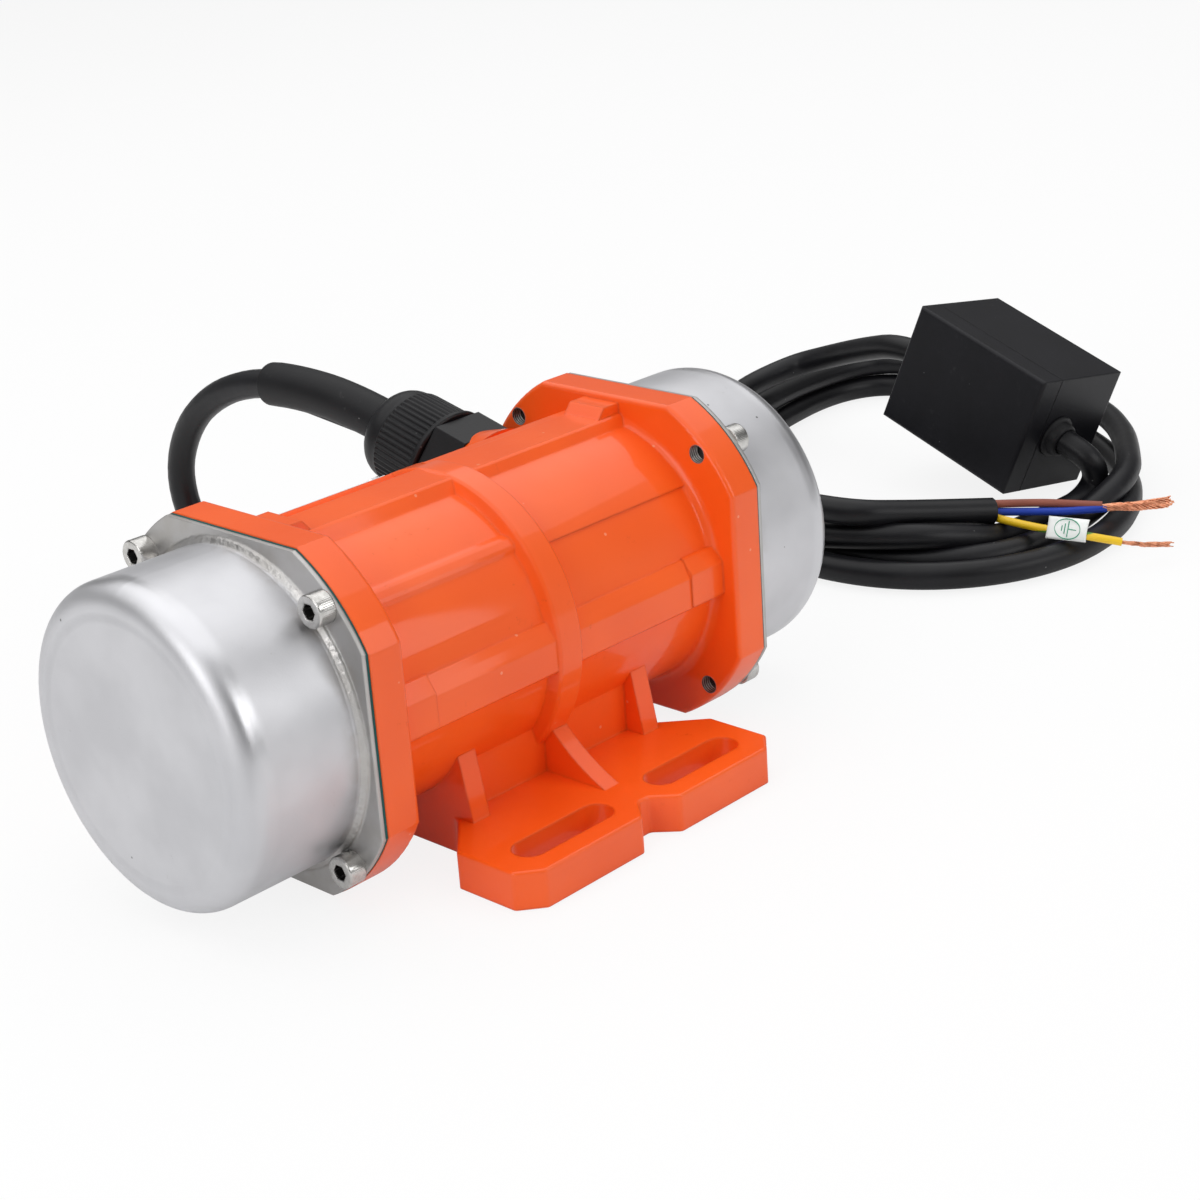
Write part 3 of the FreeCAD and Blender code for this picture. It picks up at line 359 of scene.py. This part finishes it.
def cable_black():
    """Soft black cable jacket with rubbed places."""
    f = Finish("cable_black", Specular_IOR_Level=0.30)
    patches = f.noise(0.03, 3.0)
    specks = f.spots(0.008, 0.04)
    rub = f.noise(0.0035, 5.0, 0.75).step(0.60, 0.72) * patches.step(0.5, 0.66)
    tone = f.blend(patches.step(0.3, 0.7), (0.004, 0.004, 0.005), (0.007, 0.007, 0.009))
    tone = f.blend(rub * 0.2, tone, (0.07, 0.07, 0.07))
    tone = f.blend(specks * 0.35, tone, (0.30, 0.30, 0.30))
    normal = f.bump(f.noise(0.012, 2.0), 0.0006, None, 0.35)
    normal = f.bump(f.noise(0.0008, 2.0), 0.00003, normal, 0.5)
    return f.set(Base_Color=tone, Roughness=0.34 + patches * 0.12 + rub * 0.2, Normal=normal)


def bare_aluminium():
    """Brushed plate with light stains."""
    f = Finish("bare_aluminium", Metallic=1.0)
    lines = f.noise(0.004, 3.0, 0.6, (1.0, 30.0, 30.0))
    stain = f.noise(0.012, 4.0).step(0.5, 0.75)
    return f.set(Base_Color=f.blend(stain * 0.5, (0.78, 0.79, 0.80), (0.58, 0.58, 0.58)),
                 Roughness=0.30 + lines * 0.2, Normal=f.bump(lines, 0.00003, f.rounded(0.0002), 0.5))


def bare_copper():
    """Bright copper strands with some tarnish."""
    f = Finish("bare_copper", Metallic=1.0)
    tarnish = f.noise(0.003, 4.0, 0.7)
    return f.set(Base_Color=f.blend(tarnish.step(0.4, 0.7), (0.86, 0.40, 0.24), (0.52, 0.19, 0.10)),
                 Roughness=0.26 + tarnish * 0.2)


def earth_insulation():
    """Yellow core cover with its green stripe."""
    f = Finish("earth_insulation", Specular_IOR_Level=0.5)
    x, y, z = f.axes()
    stripe = (y * 95.0 + z * 420.0 + 1.04).sine().step(0.80, 0.88)
    soil = f.noise(0.005, 4.0).step(0.55, 0.8)
    tone = f.blend(stripe, (0.86, 0.55, 0.012), (0.10, 0.28, 0.03))
    return f.set(Base_Color=f.blend(soil * 0.25, tone, (0.45, 0.30, 0.02)), Roughness=0.34 + soil * 0.2,
                 Normal=f.bump(f.noise(0.002, 2.0), 0.00005))


def cap_screw_steel():
    """Polished cap screws with a finely knurled side, and the hexagon socket painted nearly black as shade
    in the recess.
    """
    f = Finish("cap_screw_steel", Metallic=1.0)
    radius, along_shaft, across, above = from_screws(f)
    out = abs(along_shaft)
    # Painted shade: inside the hexagon socket the colour is made nearly black, as shade in the recess.
    socket_shade = (1 - radius.step(0.0021, 0.0024)) * (1 - out.step(0.0770, 0.0776))
    side = radius.step(0.0038, 0.0041) * (1 - out.step(0.0762, 0.0768))
    knurl = ripples(above.sum("ARCTAN2", across), 2 * math.pi / 64)
    wear = f.noise(0.002, 4.0, 0.7)
    colour = f.blend(wear.step(0.35, 0.75), (0.62, 0.61, 0.59), (0.46, 0.45, 0.43))
    colour = f.blend(socket_shade * 0.9, colour, (0.035, 0.032, 0.03))
    normal = f.bump(knurl * side, 0.00003, f.rounded(0.0007), 0.5)
    return f.set(Base_Color=colour, Roughness=0.14 + wear * 0.12 + socket_shade * 0.3, Normal=normal)


PAINT = orange_paint()
STAINLESS = satin_stainless()
SCREW_STEEL = cap_screw_steel()
BALL_STEEL = polished_steel("ball_steel", (0.76, 0.76, 0.77), 0.08)
DARK_STEEL = polished_steel("dark_steel", (0.10, 0.10, 0.105), 0.34)
CAGE_STEEL = polished_steel("cage_steel", (0.60, 0.57, 0.50), 0.30)
SHIELD_IRON = turned_steel("shield_iron", (0.40, 0.39, 0.38), 0.34)
SHAFT_STEEL = turned_steel("shaft_steel", (0.58, 0.58, 0.59), 0.20, 0.0003)
WEIGHT_STEEL = turned_steel("weight_steel", (0.42, 0.42, 0.42), 0.32, 0.0007)
ROTOR_ALUMINIUM = polished_steel("rotor_aluminium", (0.70, 0.71, 0.72), 0.36)
LAMINATIONS = laminated_steel()
WINDING = winding_copper()
GASKET_GREEN = moulded("gasket_green", (0.010, 0.080, 0.075), 0.62, edge=0.0001)
NYLON = moulded("gland_nylon", (0.006, 0.006, 0.007), 0.34)
SLEEVE_RUBBER = moulded("sleeve_rubber", (0.006, 0.006, 0.007), 0.44, dust=0.55)
CASE_PLASTIC = moulded("case_plastic", (0.006, 0.006, 0.008), 0.36, grain=0.0007, edge=0.0009)
SEAM = moulded("seam_shadow", (0.003, 0.003, 0.003), 0.8, dust=0.0, edge=0.00005)
CAPACITOR_CASE = moulded("capacitor_shell", (0.70, 0.69, 0.64), 0.40, dust=0.1)
BROWN = moulded("brown_insulation", (0.25, 0.080, 0.055), 0.30, dust=0.12)
BLUE = moulded("blue_insulation", (0.018, 0.050, 0.36), 0.28, dust=0.12)
TAG_PAPER = moulded("tag_paper", (0.84, 0.86, 0.84), 0.55, grain=0.0005, depth=0.00003, dust=0.1)
TAG_INK = moulded("tag_ink", (0.03, 0.30, 0.17), 0.5, dust=0.1)
EARTH = earth_insulation()
COPPER = bare_copper()
CABLE = cable_black()
ALUMINIUM = bare_aluminium()

NODE_FINISHES = {
    "housing": PAINT,
    "front_cover": STAINLESS, "rear_cover": STAINLESS,
    "front_gasket": GASKET_GREEN, "rear_gasket": GASKET_GREEN,
    "cover_screws": SCREW_STEEL,
    "nameplate": ALUMINIUM, "nameplate_rivets": ALUMINIUM,
    "gland_body": NYLON, "gland_seal": SLEEVE_RUBBER,
    "capacitor_case": CASE_PLASTIC, "capacitor_lid": CASE_PLASTIC, "run_capacitor": CAPACITOR_CASE,
    "front_end_shield": SHIELD_IRON, "rear_end_shield": SHIELD_IRON, "end_shield_screws": DARK_STEEL,
    "front_outer_race": BALL_STEEL, "rear_outer_race": BALL_STEEL,
    "front_inner_race": BALL_STEEL, "rear_inner_race": BALL_STEEL,
    "front_balls": BALL_STEEL, "rear_balls": BALL_STEEL,
    "front_cage": CAGE_STEEL, "rear_cage": CAGE_STEEL,
    "bearing_retainers": DARK_STEEL, "shaft_retainers": DARK_STEEL, "wave_spring": DARK_STEEL,
    "stator_core": LAMINATIONS, "rotor_core": LAMINATIONS, "stator_winding": WINDING,
    "lead_wires": EARTH, "rotor_cage": ROTOR_ALUMINIUM, "shaft": SHAFT_STEEL, "weight_keys": SHAFT_STEEL,
    "front_fixed_weight": WEIGHT_STEEL, "rear_fixed_weight": WEIGHT_STEEL,
    "front_adjustable_weight": WEIGHT_STEEL, "rear_adjustable_weight": WEIGHT_STEEL,
    "fixed_clamp_bolts": DARK_STEEL, "front_adjusting_bolt": DARK_STEEL, "rear_adjusting_bolt": DARK_STEEL,
}


def dress_nodes():
    for name, material in NODE_FINISHES.items():
        node = NODES[name]
        if not node.material_slots:
            node.data.materials.append(material)
        for spot in node.material_slots:
            spot.material = material


# ---------------------------------------------------------------- builders

def join_scene(obj, material, slot):
    bpy.context.collection.objects.link(obj)
    obj.data.materials.append(material)
    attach(obj, "motor")
    return obj


def mesh_piece(name, points, faces, material, slot, crease=35):
    mesh = bpy.data.meshes.new(name)
    mesh.from_pydata(points, [], faces)
    mesh.validate()
    mesh.shade_smooth()
    mesh.set_sharp_from_angle(angle=math.radians(crease))
    return join_scene(bpy.data.objects.new(name, mesh), material, slot)


def spline_piece(name, points, radius, material, slot, resolution=6):
    """Round piece along a smooth line that has these control points."""
    curve = bpy.data.curves.new(name, "CURVE")
    curve.dimensions = "3D"
    curve.bevel_depth = radius
    curve.bevel_resolution = 5
    curve.use_fill_caps = True
    add_spline(curve, points, resolution)
    return join_scene(bpy.data.objects.new(name, curve), material, slot)


def add_spline(curve, points, resolution):
    line = curve.splines.new("NURBS")
    line.points.add(len(points) - 1)
    for spot, point in zip(line.points, points):
        spot.co = (*point, 1.0)
    line.order_u = 3
    line.use_endpoint_u = True
    line.resolution_u = resolution


def axes_round(direction):
    """Two directions square to this one and to each other."""
    side = direction.cross(Vector((1, 0, 0)))
    if side.length < 0.2:
        side = direction.cross(Vector((0, 0, 1)))
    side.normalize()
    return side, direction.cross(side)


def ring_points(middle, side, other, count, radius_at):
    """One ring of points, whose radius may change with the angle."""
    points = []
    for k in range(count):
        angle = 2 * math.pi * k / count
        points.append(middle + (side * math.cos(angle) + other * math.sin(angle)) * radius_at(angle))
    return points


def ring_faces(rings, count):
    """Faces between neighbouring rings, the last joined to the first."""
    faces = []
    for ring in range(rings):
        ahead = (ring + 1) % rings
        for k in range(count):
            turn = (k + 1) % count
            faces.append((ring * count + k, ring * count + turn, ahead * count + turn, ahead * count + k))
    return faces


def turned_piece(name, start, direction, outline, material, slot, count=96, change=None):
    """Closed turned piece from an outline of (distance along, radius) in millimetres.

    The outline runs out along one side and back along the other. change gives what is added
    to the radius, from the distance and the angle.
    """
    side, other = axes_round(direction)
    points = []
    for far, wide in outline:
        distance, radius = far / 1000, wide / 1000
        points += ring_points(start + direction * distance, side, other, count,
                              lambda angle: radius + (change(distance, angle) if change else 0.0))
    return mesh_piece(name, points, ring_faces(len(outline), count), material, slot)


# ---------------------------------------------------------------- cords

# Control points of the routes, in millimetres.
CABLE_HEAD = [(38.0, 35.06, 71.3), (38.0, 72.0, 83.6), (38.0, 115.0, 86.4), (38.0, 143.0, 80.0),
              (38.0, 164.5, 65.5), (38.0, 175.0, 44.0), (40.0, 168.0, 20.0), (52.0, 150.0, 6.2),
              (76.0, 129.0, 4.6), (114.0, 112.5, 4.6), (151.0, 87.0, 4.6)]
BOX_LEAD = [(239.0, -24.0, 5.0), (254.0, -24.5, 4.8), (264.5, -25.5, 5.2), (275.5, -24.0, 6.4),
            (277.4, -25.8, 12.6), (273.4, -24.0, 20.6), (274.14, -10.68, 24.84)]
SUPPLY_HEAD = [(280.35, 44.71, 43.27), (282.0, 60.0, 46.0), (288.0, 82.0, 40.0),
               (293.0, 104.0, 32.5), (292.0, 120.0, 27.0)]
SUPPLY_TAIL = [(178.5, 3.3, 22.2), (193.8, -3.9, 19.0), (209.0, -12.7, 16.5), (221.8, -20.0, 14.5)]

GLAND_BASE = mm(*CABLE_HEAD[0])
GLAND_TILT = math.radians(15)
GLAND_AXIS = Vector((0, math.cos(GLAND_TILT), math.sin(GLAND_TILT)))

# The loose coil lies round an oval that is fuller at one end, in millimetres and radians.
OVAL_MIDDLE = (278.6, 55.9)
OVAL_HALF_LENGTH = 110.0
OVAL_HALF_WIDTH = 66.0
OVAL_FULLNESS = 13.6
OVAL_TAPER = 0.486
OVAL_TURN = 0.758

# Turns of each cord by angle round the oval in degrees, how far in from it, and how high.
MOTOR_TURNS = [(142, -1.0, 4.6), (170, -2.0, 4.6), (230, -1.2, 4.6), (300, 0.0, 4.6), (390, 1.0, 4.6),
               (420, 3.0, 4.6), (455, 3.0, 4.6), (485, 0.5, 4.8), (500, 4.6, 8.8), (513, 6.5, 13.4),
               (524, 8.8, 13.6), (537, 13.2, 13.4), (551, 21.8, 7.4), (564, 22.6, 4.8)]
SUPPLY_TURNS = [(76, 0.0, 24.0), (92, 0.0, 23.3), (112, 9.5, 20.6), (126, 14.0, 9.0), (140, 13.4, 4.6),
                (196, 11.8, 4.6), (208, 13.0, 4.8), (216, 11.3, 6.0), (225, 5.0, 11.0), (234, -0.8, 14.4),
                (246, -1.0, 14.0), (260, -5.7, 13.8), (270, -8.0, 13.8), (300, -5.0, 13.8),
                (345, 0.0, 13.8), (400, 2.0, 13.7), (470, 0.0, 13.8), (485, 1.0, 15.6), (500, 3.0, 19.6),
                (509, 3.4, 22.2)]


def oval_spot(turn):
    """Point on the oval itself, in millimetres."""
    x = OVAL_HALF_LENGTH * math.cos(turn) - OVAL_FULLNESS * math.cos(2 * turn)
    y = OVAL_HALF_WIDTH * math.sin(turn) * (1 - OVAL_TAPER * math.cos(turn))
    return Vector((OVAL_MIDDLE[0] + x * math.cos(OVAL_TURN) - y * math.sin(OVAL_TURN),
                   OVAL_MIDDLE[1] + x * math.sin(OVAL_TURN) + y * math.cos(OVAL_TURN), 0))


def oval_point(angle, inward, height):
    """Point beside the oval, moved inwards and up, in metres."""
    turn = math.radians(angle)
    ahead = (oval_spot(turn + 0.001) - oval_spot(turn - 0.001)).normalized()
    return (oval_spot(turn) + Vector((-ahead.y, ahead.x, 0)) * inward + Vector((0, 0, height))) / 1000


def coil_turns(table, step):
    """Points every step degrees, eased from one entry of the table to the next."""
    points = []
    angle = table[0][0]
    while angle <= table[-1][0]:
        for (a0, in0, up0), (a1, in1, up1) in zip(table, table[1:]):
            if a0 <= angle <= a1:
                share = (angle - a0) / (a1 - a0)
                eased = share * share * (3 - 2 * share)
                points.append(oval_point(angle, in0 + (in1 - in0) * eased, up0 + (up1 - up0) * eased))
                break
        angle += step
    return points


def along(points):
    """Length of the smooth line that a piece follows, and points on it."""
    curve = bpy.data.curves.new("measure", "CURVE")
    curve.dimensions = "3D"
    add_spline(curve, points, 12)
    holder = bpy.data.objects.new("measure", curve)
    mesh = bpy.data.meshes.new_from_object(holder)
    line = [v.co.copy() for v in mesh.vertices]
    bpy.data.objects.remove(holder)
    bpy.data.curves.remove(curve)
    bpy.data.meshes.remove(mesh)
    return sum((b - a).length for a, b in zip(line, line[1:])), line


motor_points = [mm(*p) for p in CABLE_HEAD] + coil_turns(MOTOR_TURNS, 13) + [mm(*p) for p in BOX_LEAD]
supply_points = [mm(*p) for p in SUPPLY_HEAD] + coil_turns(SUPPLY_TURNS, 12) + [mm(*p) for p in SUPPLY_TAIL]
motor_length, motor_line = along(motor_points)
supply_length, supply_line = along(supply_points)

motor_cord = spline_piece("motor_cord", motor_points, CABLE_R, CABLE, "cable_jacket")
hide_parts("motor_cable", "cable_coil", "box_lead")
supply_cord = spline_piece("supply_cord", supply_points, CABLE_R, CABLE, "cable_jacket")
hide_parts("supply_lead", "cable_coil", "supply_tail")

SLEEVE_START = 0.020        # both along the cable
SLEEVE_END = 0.0858
SLEEVE_SIDES = 40
SLEEVE_END_R = 0.0053       # at its very end
SLEEVE_ROUNDING = 0.0012    # what the rounding adds to that
SLEEVE_ROUNDED = 0.0022     # the length that it takes
SLEEVE_WIDENING = 0.0003    # from start to end
SLEEVE_GAP = 0.00015        # between the sleeve's bore and the cable


def swept_sleeve():
    """Rubber bend relief, a little wider towards its rounded end."""
    walked = 0.0
    stations = []
    for a, b in zip(motor_line, motor_line[1:]):
        walked += (b - a).length
        if SLEEVE_START <= walked <= SLEEVE_END:
            stations.append((walked, b.copy(), (b - a).normalized()))

    def ring(station, radius):
        spot, heading = station[1:]
        side = Vector((1, 0, 0))
        return ring_points(spot, side, heading.cross(side).normalized(), SLEEVE_SIDES, lambda angle: radius)

    points = []
    for station in stations:
        walked = station[0]
        from_end = min((SLEEVE_END - walked) / SLEEVE_ROUNDED, 1.0)
        round_off = math.sqrt(max(0.0, 1 - (1 - from_end) ** 2))
        share = (walked - SLEEVE_START) / (SLEEVE_END - SLEEVE_START)
        points += ring(station, SLEEVE_END_R + SLEEVE_ROUNDING * round_off + SLEEVE_WIDENING * share)
    for station in (stations[-1], stations[0]):
        points += ring(station, CABLE_R + SLEEVE_GAP)
    faces = ring_faces(len(stations) + 2, SLEEVE_SIDES)
    sleeve = mesh_piece("sleeve", points, faces, SLEEVE_RUBBER, "sleeve_rubber", 50)
    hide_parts("cable_sleeve")
    return sleeve


# Grip ribs round the dome nut.
RIB_COUNT = 54
RIB_DEPTH = 0.00055


def grip_ribs(distance, angle):
    """What the grooves between the ribs take off the nut's radius."""
    if not 0.0080 < distance < 0.0222:
        return 0.0
    wave = math.cos(RIB_COUNT * angle) * 1.8
    return -RIB_DEPTH * (0.5 - 0.5 * max(-1.0, min(1.0, wave)))


def ribbed_nut():
    """Dome nut of the gland, with a rim and a band of grip ribs."""
    outline = [(5.4, 9.75), (5.4, 15.3), (5.8, 15.8), (6.9, 15.8), (7.4, 15.2), (7.7, 15.0), (8.2, 15.05),
               (21.7, 14.8), (22.3, 14.7), (22.6, 14.3), (23.0, 14.15)]
    for k in range(10):
        turn = math.radians(9 * k)
        outline.append((24.4 + 7.0 * math.sin(turn), 7.5 + 6.6 * math.cos(turn)))
    outline += [(31.4, 6.95), (21.6, 6.95), (21.6, 9.75)]
    nut = turned_piece("ribbed_nut", GLAND_BASE, GLAND_AXIS, outline, NYLON, "gland_nylon", RIB_COUNT * 8,
                       grip_ribs)
    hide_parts("gland_nut")


HEXAGON_FLAT = 14.5         # from the gland's axis to a flat, in millimetres
HEXAGON_ROUND = 17.0        # radius of the ring that the flats are cut from


def six_sides(distance, angle):
    """What the flats take off the ring's radius. They are the same all along it."""
    from_flat = (angle + math.pi / 6) % (math.pi / 3) - math.pi / 6
    return (HEXAGON_FLAT / math.cos(from_flat) - HEXAGON_ROUND) / 1000


def gland_hexagon():
    """Moulded hexagon of the gland, its corners just wider than the rim of the nut."""
    outline = [(-7.0, HEXAGON_ROUND), (4.9, HEXAGON_ROUND), (5.2, 16.7), (5.2, 13.2), (-7.0, 14.0)]
    turned_piece("gland_hexagon", GLAND_BASE, GLAND_AXIS, outline, NYLON, "gland_nylon", 96, six_sides)


# The box's corner by the lid, and the directions of its edges.
CASE_CORNER = mm(264.7, 38.5, 67.2)
CASE_LONG = Vector((-0.105831, -0.943509, -0.313992))
CASE_DEEP = Vector((0.986580, -0.060146, -0.151795))
CASE_UP = Vector((0.124335, -0.325843, 0.937212))
CASE_LENGTH = 0.0587
CASE_HEIGHT = 0.0435


def entry_bushes():
    """Stepped rubber bushes where the cables enter the box."""
    outline = [(-3.4, 4.6), (-3.4, 5.9), (-0.05, 5.9), (-0.05, 7.6), (0.5, 7.75), (1.1, 7.5), (1.4, 6.9),
               (1.6, 6.5), (3.6, 6.1), (4.3, 5.75), (4.6, 5.2), (4.6, 4.6)]
    bushes = []
    for name, spot, outward in (("lead_bush", BOX_LEAD[-1], CASE_LONG),
                                ("supply_bush", SUPPLY_HEAD[0], -CASE_LONG)):
        bush = turned_piece(name, mm(*spot), outward, outline, SLEEVE_RUBBER, "sleeve_rubber", 48)
        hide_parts("case_grommets")
        bushes.append(bush)
    return bushes


def case_seam():
    """Thin shadow line where the lid meets the case."""
    lift = 0.00004
    low, high = 0.00985, 0.01015
    corners = [(-lift, lift), (CASE_LENGTH + lift, lift), (CASE_LENGTH + lift, -CASE_HEIGHT - lift),
               (-lift, -CASE_HEIGHT - lift)]
    points = [CASE_CORNER + CASE_LONG * a + CASE_DEEP * depth + CASE_UP * b
              for depth in (low, high) for a, b in corners]
    faces = [(k, (k + 1) % 4, 4 + (k + 1) % 4, 4 + k) for k in range(4)]
    return mesh_piece("case_seam", points, faces, SEAM, "case_plastic")


# Middle lines of the cores and of the bare strands, in millimetres.
BROWN_ROUTE = [(222.0, -18.6, 16.6), (233.6, -29.4, 15.8), (243.0, -37.0, 13.9), (248.4, -45.6, 13.4)]
BLUE_ROUTE = [(222.6, -20.2, 14.0), (233.4, -31.0, 12.9), (241.6, -38.8, 12.0), (248.8, -47.0, 12.5)]
EARTH_ROUTE = [(221.6, -19.6, 12.6), (221.6, -31.0, 12.0), (223.0, -46.0, 11.9), (225.2, -57.5, 11.5),
               (229.8, -64.4, 9.9)]
LIVE_ROUTE = [(248.0, -46.0, 12.8), (252.0, -51.4, 13.0), (257.6, -56.8, 12.6), (263.6, -61.7, 13.2)]
EARTH_END_ROUTE = [(229.6, -64.2, 9.95), (234.5, -66.6, 8.2), (241.0, -68.6, 6.2), (247.9, -71.4, 5.0)]

GOLDEN_PART = 0.618         # of a turn, which spreads the strands evenly


def strand_bundle(name, route, bundle_r, strand_r, count, twist, node):
    """Bare copper strands, twisted together and loosening towards the end."""
    line = along([mm(*p) for p in route])[1]
    curve = bpy.data.curves.new(name, "CURVE")
    curve.dimensions = "3D"
    curve.bevel_depth = strand_r
    curve.bevel_resolution = 2
    curve.use_fill_caps = True
    samples = line[::2] + [line[-1]]
    last = len(samples) - 1
    for k in range(count):
        layer = 0.0 if k == 0 else (0.5 if k < count // 3 else 1.0)
        offset = 2 * math.pi * k * GOLDEN_PART
        points = []
        for index, spot in enumerate(samples):
            share = index / last
            heading = (samples[min(index + 1, last)] - samples[max(index - 1, 0)]).normalized()
            side, other = axes_round(heading)
            angle = offset + share * twist
            spread = bundle_r * layer * (0.62 + 0.45 * share + 0.14 * math.sin(2.7 * k + 7.0 * share))
            if index == last:
                spot = spot + heading * 0.0012 * math.sin(5.3 * k)
            points.append(spot + (side * math.cos(angle) + other * math.sin(angle)) * spread)
        add_spline(curve, points, 3)
    bundle = join_scene(bpy.data.objects.new(name, curve), COPPER, "copper")
    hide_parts(node)
    return bundle


def core_wires():
    """Insulated cores that come out of the cut jacket."""
    cores = []
    for name, route, material, slot, node in (
            ("brown_core", BROWN_ROUTE, BROWN, "core_brown", "brown_wire"),
            ("blue_core", BLUE_ROUTE, BLUE, "core_blue", "blue_wire"),
            ("earth_core", EARTH_ROUTE, EARTH, "core_earth", "earth_wire")):
        core = spline_piece(name, [mm(*p) for p in route], CORE_R, material, slot, 10)
        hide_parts(node)
        cores.append(core)
    return cores


def earth_flag():
    """Paper tag stuck on the earth core, with the general earth sign on it."""
    heading = (mm(*EARTH_ROUTE[3]) - mm(*EARTH_ROUTE[2])).normalized()
    up = Vector((0.395, 0.0, 0.919))
    up = (up - heading * up.dot(heading)).normalized()
    outward = heading.cross(up)
    middle = mm(223.4, -48.4, 11.8) + up * 0.0012 + outward * 0.0015
    half_length, half_width = 0.0067, 0.0037
    columns, rows = 16, 8
    points, faces = [], []
    for c in range(columns + 1):
        a = c / columns * 2 - 1
        for r in range(rows + 1):
            b = r / rows * 2 - 1
            curl = 0.0007 * b * b * (0.4 + 0.6 * a) - 0.0003 * a * a
            points.append(middle + heading * (a * half_length) + up * (b * half_width + 0.0004 * a)
                          - outward * curl)
    for c in range(columns):
        for r in range(rows):
            k = c * (rows + 1) + r
            faces.append((k, k + 1, k + rows + 2, k + rows + 1))
    flag = mesh_piece("earth_flag", points, faces, TAG_PAPER, "tag_paper", 60)
    thick = flag.modifiers.new("thick", "SOLIDIFY")
    thick.thickness = 0.00022
    thick.offset = 0.0
    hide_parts("earth_tag")

    curve = bpy.data.curves.new("earth_sign", "CURVE")
    curve.dimensions = "3D"
    curve.bevel_depth = 0.00016
    front = middle + outward * 0.00012

    def stroke(marks, closed=False):
        line = curve.splines.new("POLY")
        line.points.add(len(marks) - 1)
        line.use_cyclic_u = closed
        for spot, (a, b) in zip(line.points, marks):
            spot.co = (*(front + heading * (a / 1000) + up * (b / 1000)), 1.0)

    tenths = [math.radians(10 * k) for k in range(36)]
    stroke([(4.3 * math.cos(turn), 3.3 * math.sin(turn)) for turn in tenths], True)
    stroke([(0.2, 0.0), (3.0, 0.0)])
    for place, half in ((0.2, 2.6), (-0.9, 1.7), (-1.9, 0.9)):
        stroke([(place, -half), (place, half)])
    sign = join_scene(bpy.data.objects.new("earth_sign", curve), TAG_INK, "tag_paper")
    return flag, sign


sleeve = swept_sleeve()
ribbed_nut()
gland_hexagon()
lead_bush, supply_bush = entry_bushes()
seam = case_seam()
brown_core, blue_core, earth_core = core_wires()
live_bundle = strand_bundle("live_bundle", LIVE_ROUTE, 0.00150, 0.00024, 30, 9.0, "live_strands")
earth_bundle = strand_bundle("earth_bundle", EARTH_END_ROUTE, 0.00075, 0.00019, 14, 8.0, "earth_strands")
flag, sign = earth_flag()
dress_nodes()

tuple(motor_line[0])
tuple(supply_line[0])


# ---------------------------------------------------------------- stage

def floor():
    """White floor just under the foot, which keeps the part's shadow."""
    mesh = bpy.data.meshes.new("floor")
    size, level = 6.0, -0.0004
    corners = [(x, y, level) for x, y in ((-size, -size), (size, -size), (size, size), (-size, size))]
    mesh.from_pydata(corners, [], [(0, 1, 2, 3)])
    plane = bpy.data.objects.new("floor", mesh)
    bpy.context.collection.objects.link(plane)
    f = Finish("floor", Roughness=0.9, Specular_IOR_Level=0.1)
    grain = f.noise(0.4, 2.0)
    f.set(Base_Color=f.blend(grain, (0.86, 0.86, 0.86), (0.88, 0.88, 0.88)))
    white = f.node("ShaderNodeEmission", None, {"Color": (1.0, 1.0, 1.0), "Strength": 1.0})
    seen = f.node("ShaderNodeLightPath", output=CAMERA_RAY)
    mirrored = f.node("ShaderNodeLightPath", output=GLOSSY_RAY)
    share = seen * 0.86 + mirrored * 0.25
    mixed = f.node("ShaderNodeMixShader", None, {0: share, 1: Value(f, f.shader.outputs[0]), 2: white})
    f.feed(f.tree.nodes["Material Output"].inputs["Surface"], mixed)
    mesh.materials.append(f.material)


def lamp(name, spot, aim, size, watts):
    light = bpy.data.lights.new(name, "AREA")
    light.shape = "RECTANGLE"
    light.size, light.size_y = size
    light.energy = watts
    obj = bpy.data.objects.new(name, light)
    bpy.context.collection.objects.link(obj)
    heading = (Vector(aim) - Vector(spot)).normalized()
    obj.location = spot
    obj.rotation_euler = heading.to_track_quat("-Z", "Y").to_euler()


# Brightness of the room that the part reflects, from straight down to straight up.
ROOM_STOPS = [(0.0, (0.30, 0.30, 0.30)), (0.10, (0.36, 0.36, 0.36)), (0.30, (0.12, 0.12, 0.12)),
              (0.46, (0.16, 0.16, 0.16)), (0.68, (0.60, 0.60, 0.60)), (1.0, (0.62, 0.62, 0.63))]


def sky():
    """White behind the part; for its reflections, bright above and dim lower down."""
    world = bpy.data.worlds.new("studio")
    bpy.context.scene.world = world
    world.use_nodes = True
    tree = NodeTree(world.node_tree)
    glow, output = tree.tree.nodes["Background"], tree.tree.nodes["World Output"]
    where = tree.node("ShaderNodeTexCoord")
    height = tree.node("ShaderNodeSeparateXYZ", None, {0: where}, output=2)
    room = tree.node("ShaderNodeValToRGB", {"stops": ROOM_STOPS}, {"Fac": height})
    tree.feed(glow.inputs["Color"], room)
    white = tree.node("ShaderNodeBackground", None, {"Color": (1.0, 1.0, 1.0)})
    seen = tree.node("ShaderNodeLightPath", output=CAMERA_RAY)
    mixed = tree.node("ShaderNodeMixShader", None, {0: seen, 1: Value(tree, glow.outputs[0]), 2: white})
    tree.feed(output.inputs["Surface"], mixed)


floor()
sky()
lamp("overhead", (0.10, 0.30, 1.15), (0.08, 0.0, 0.0), (2.6, 2.0), 14.5)
lamp("left", (-1.25, -0.10, 0.60), (0.0, 0.0, 0.05), (0.9, 0.7), 5.5)
lamp("front", (0.45, -1.30, 0.65), (0.05, 0.0, 0.05), (1.1, 0.6), 5.0)

bpy.context.scene.view_settings.view_transform = "Standard"
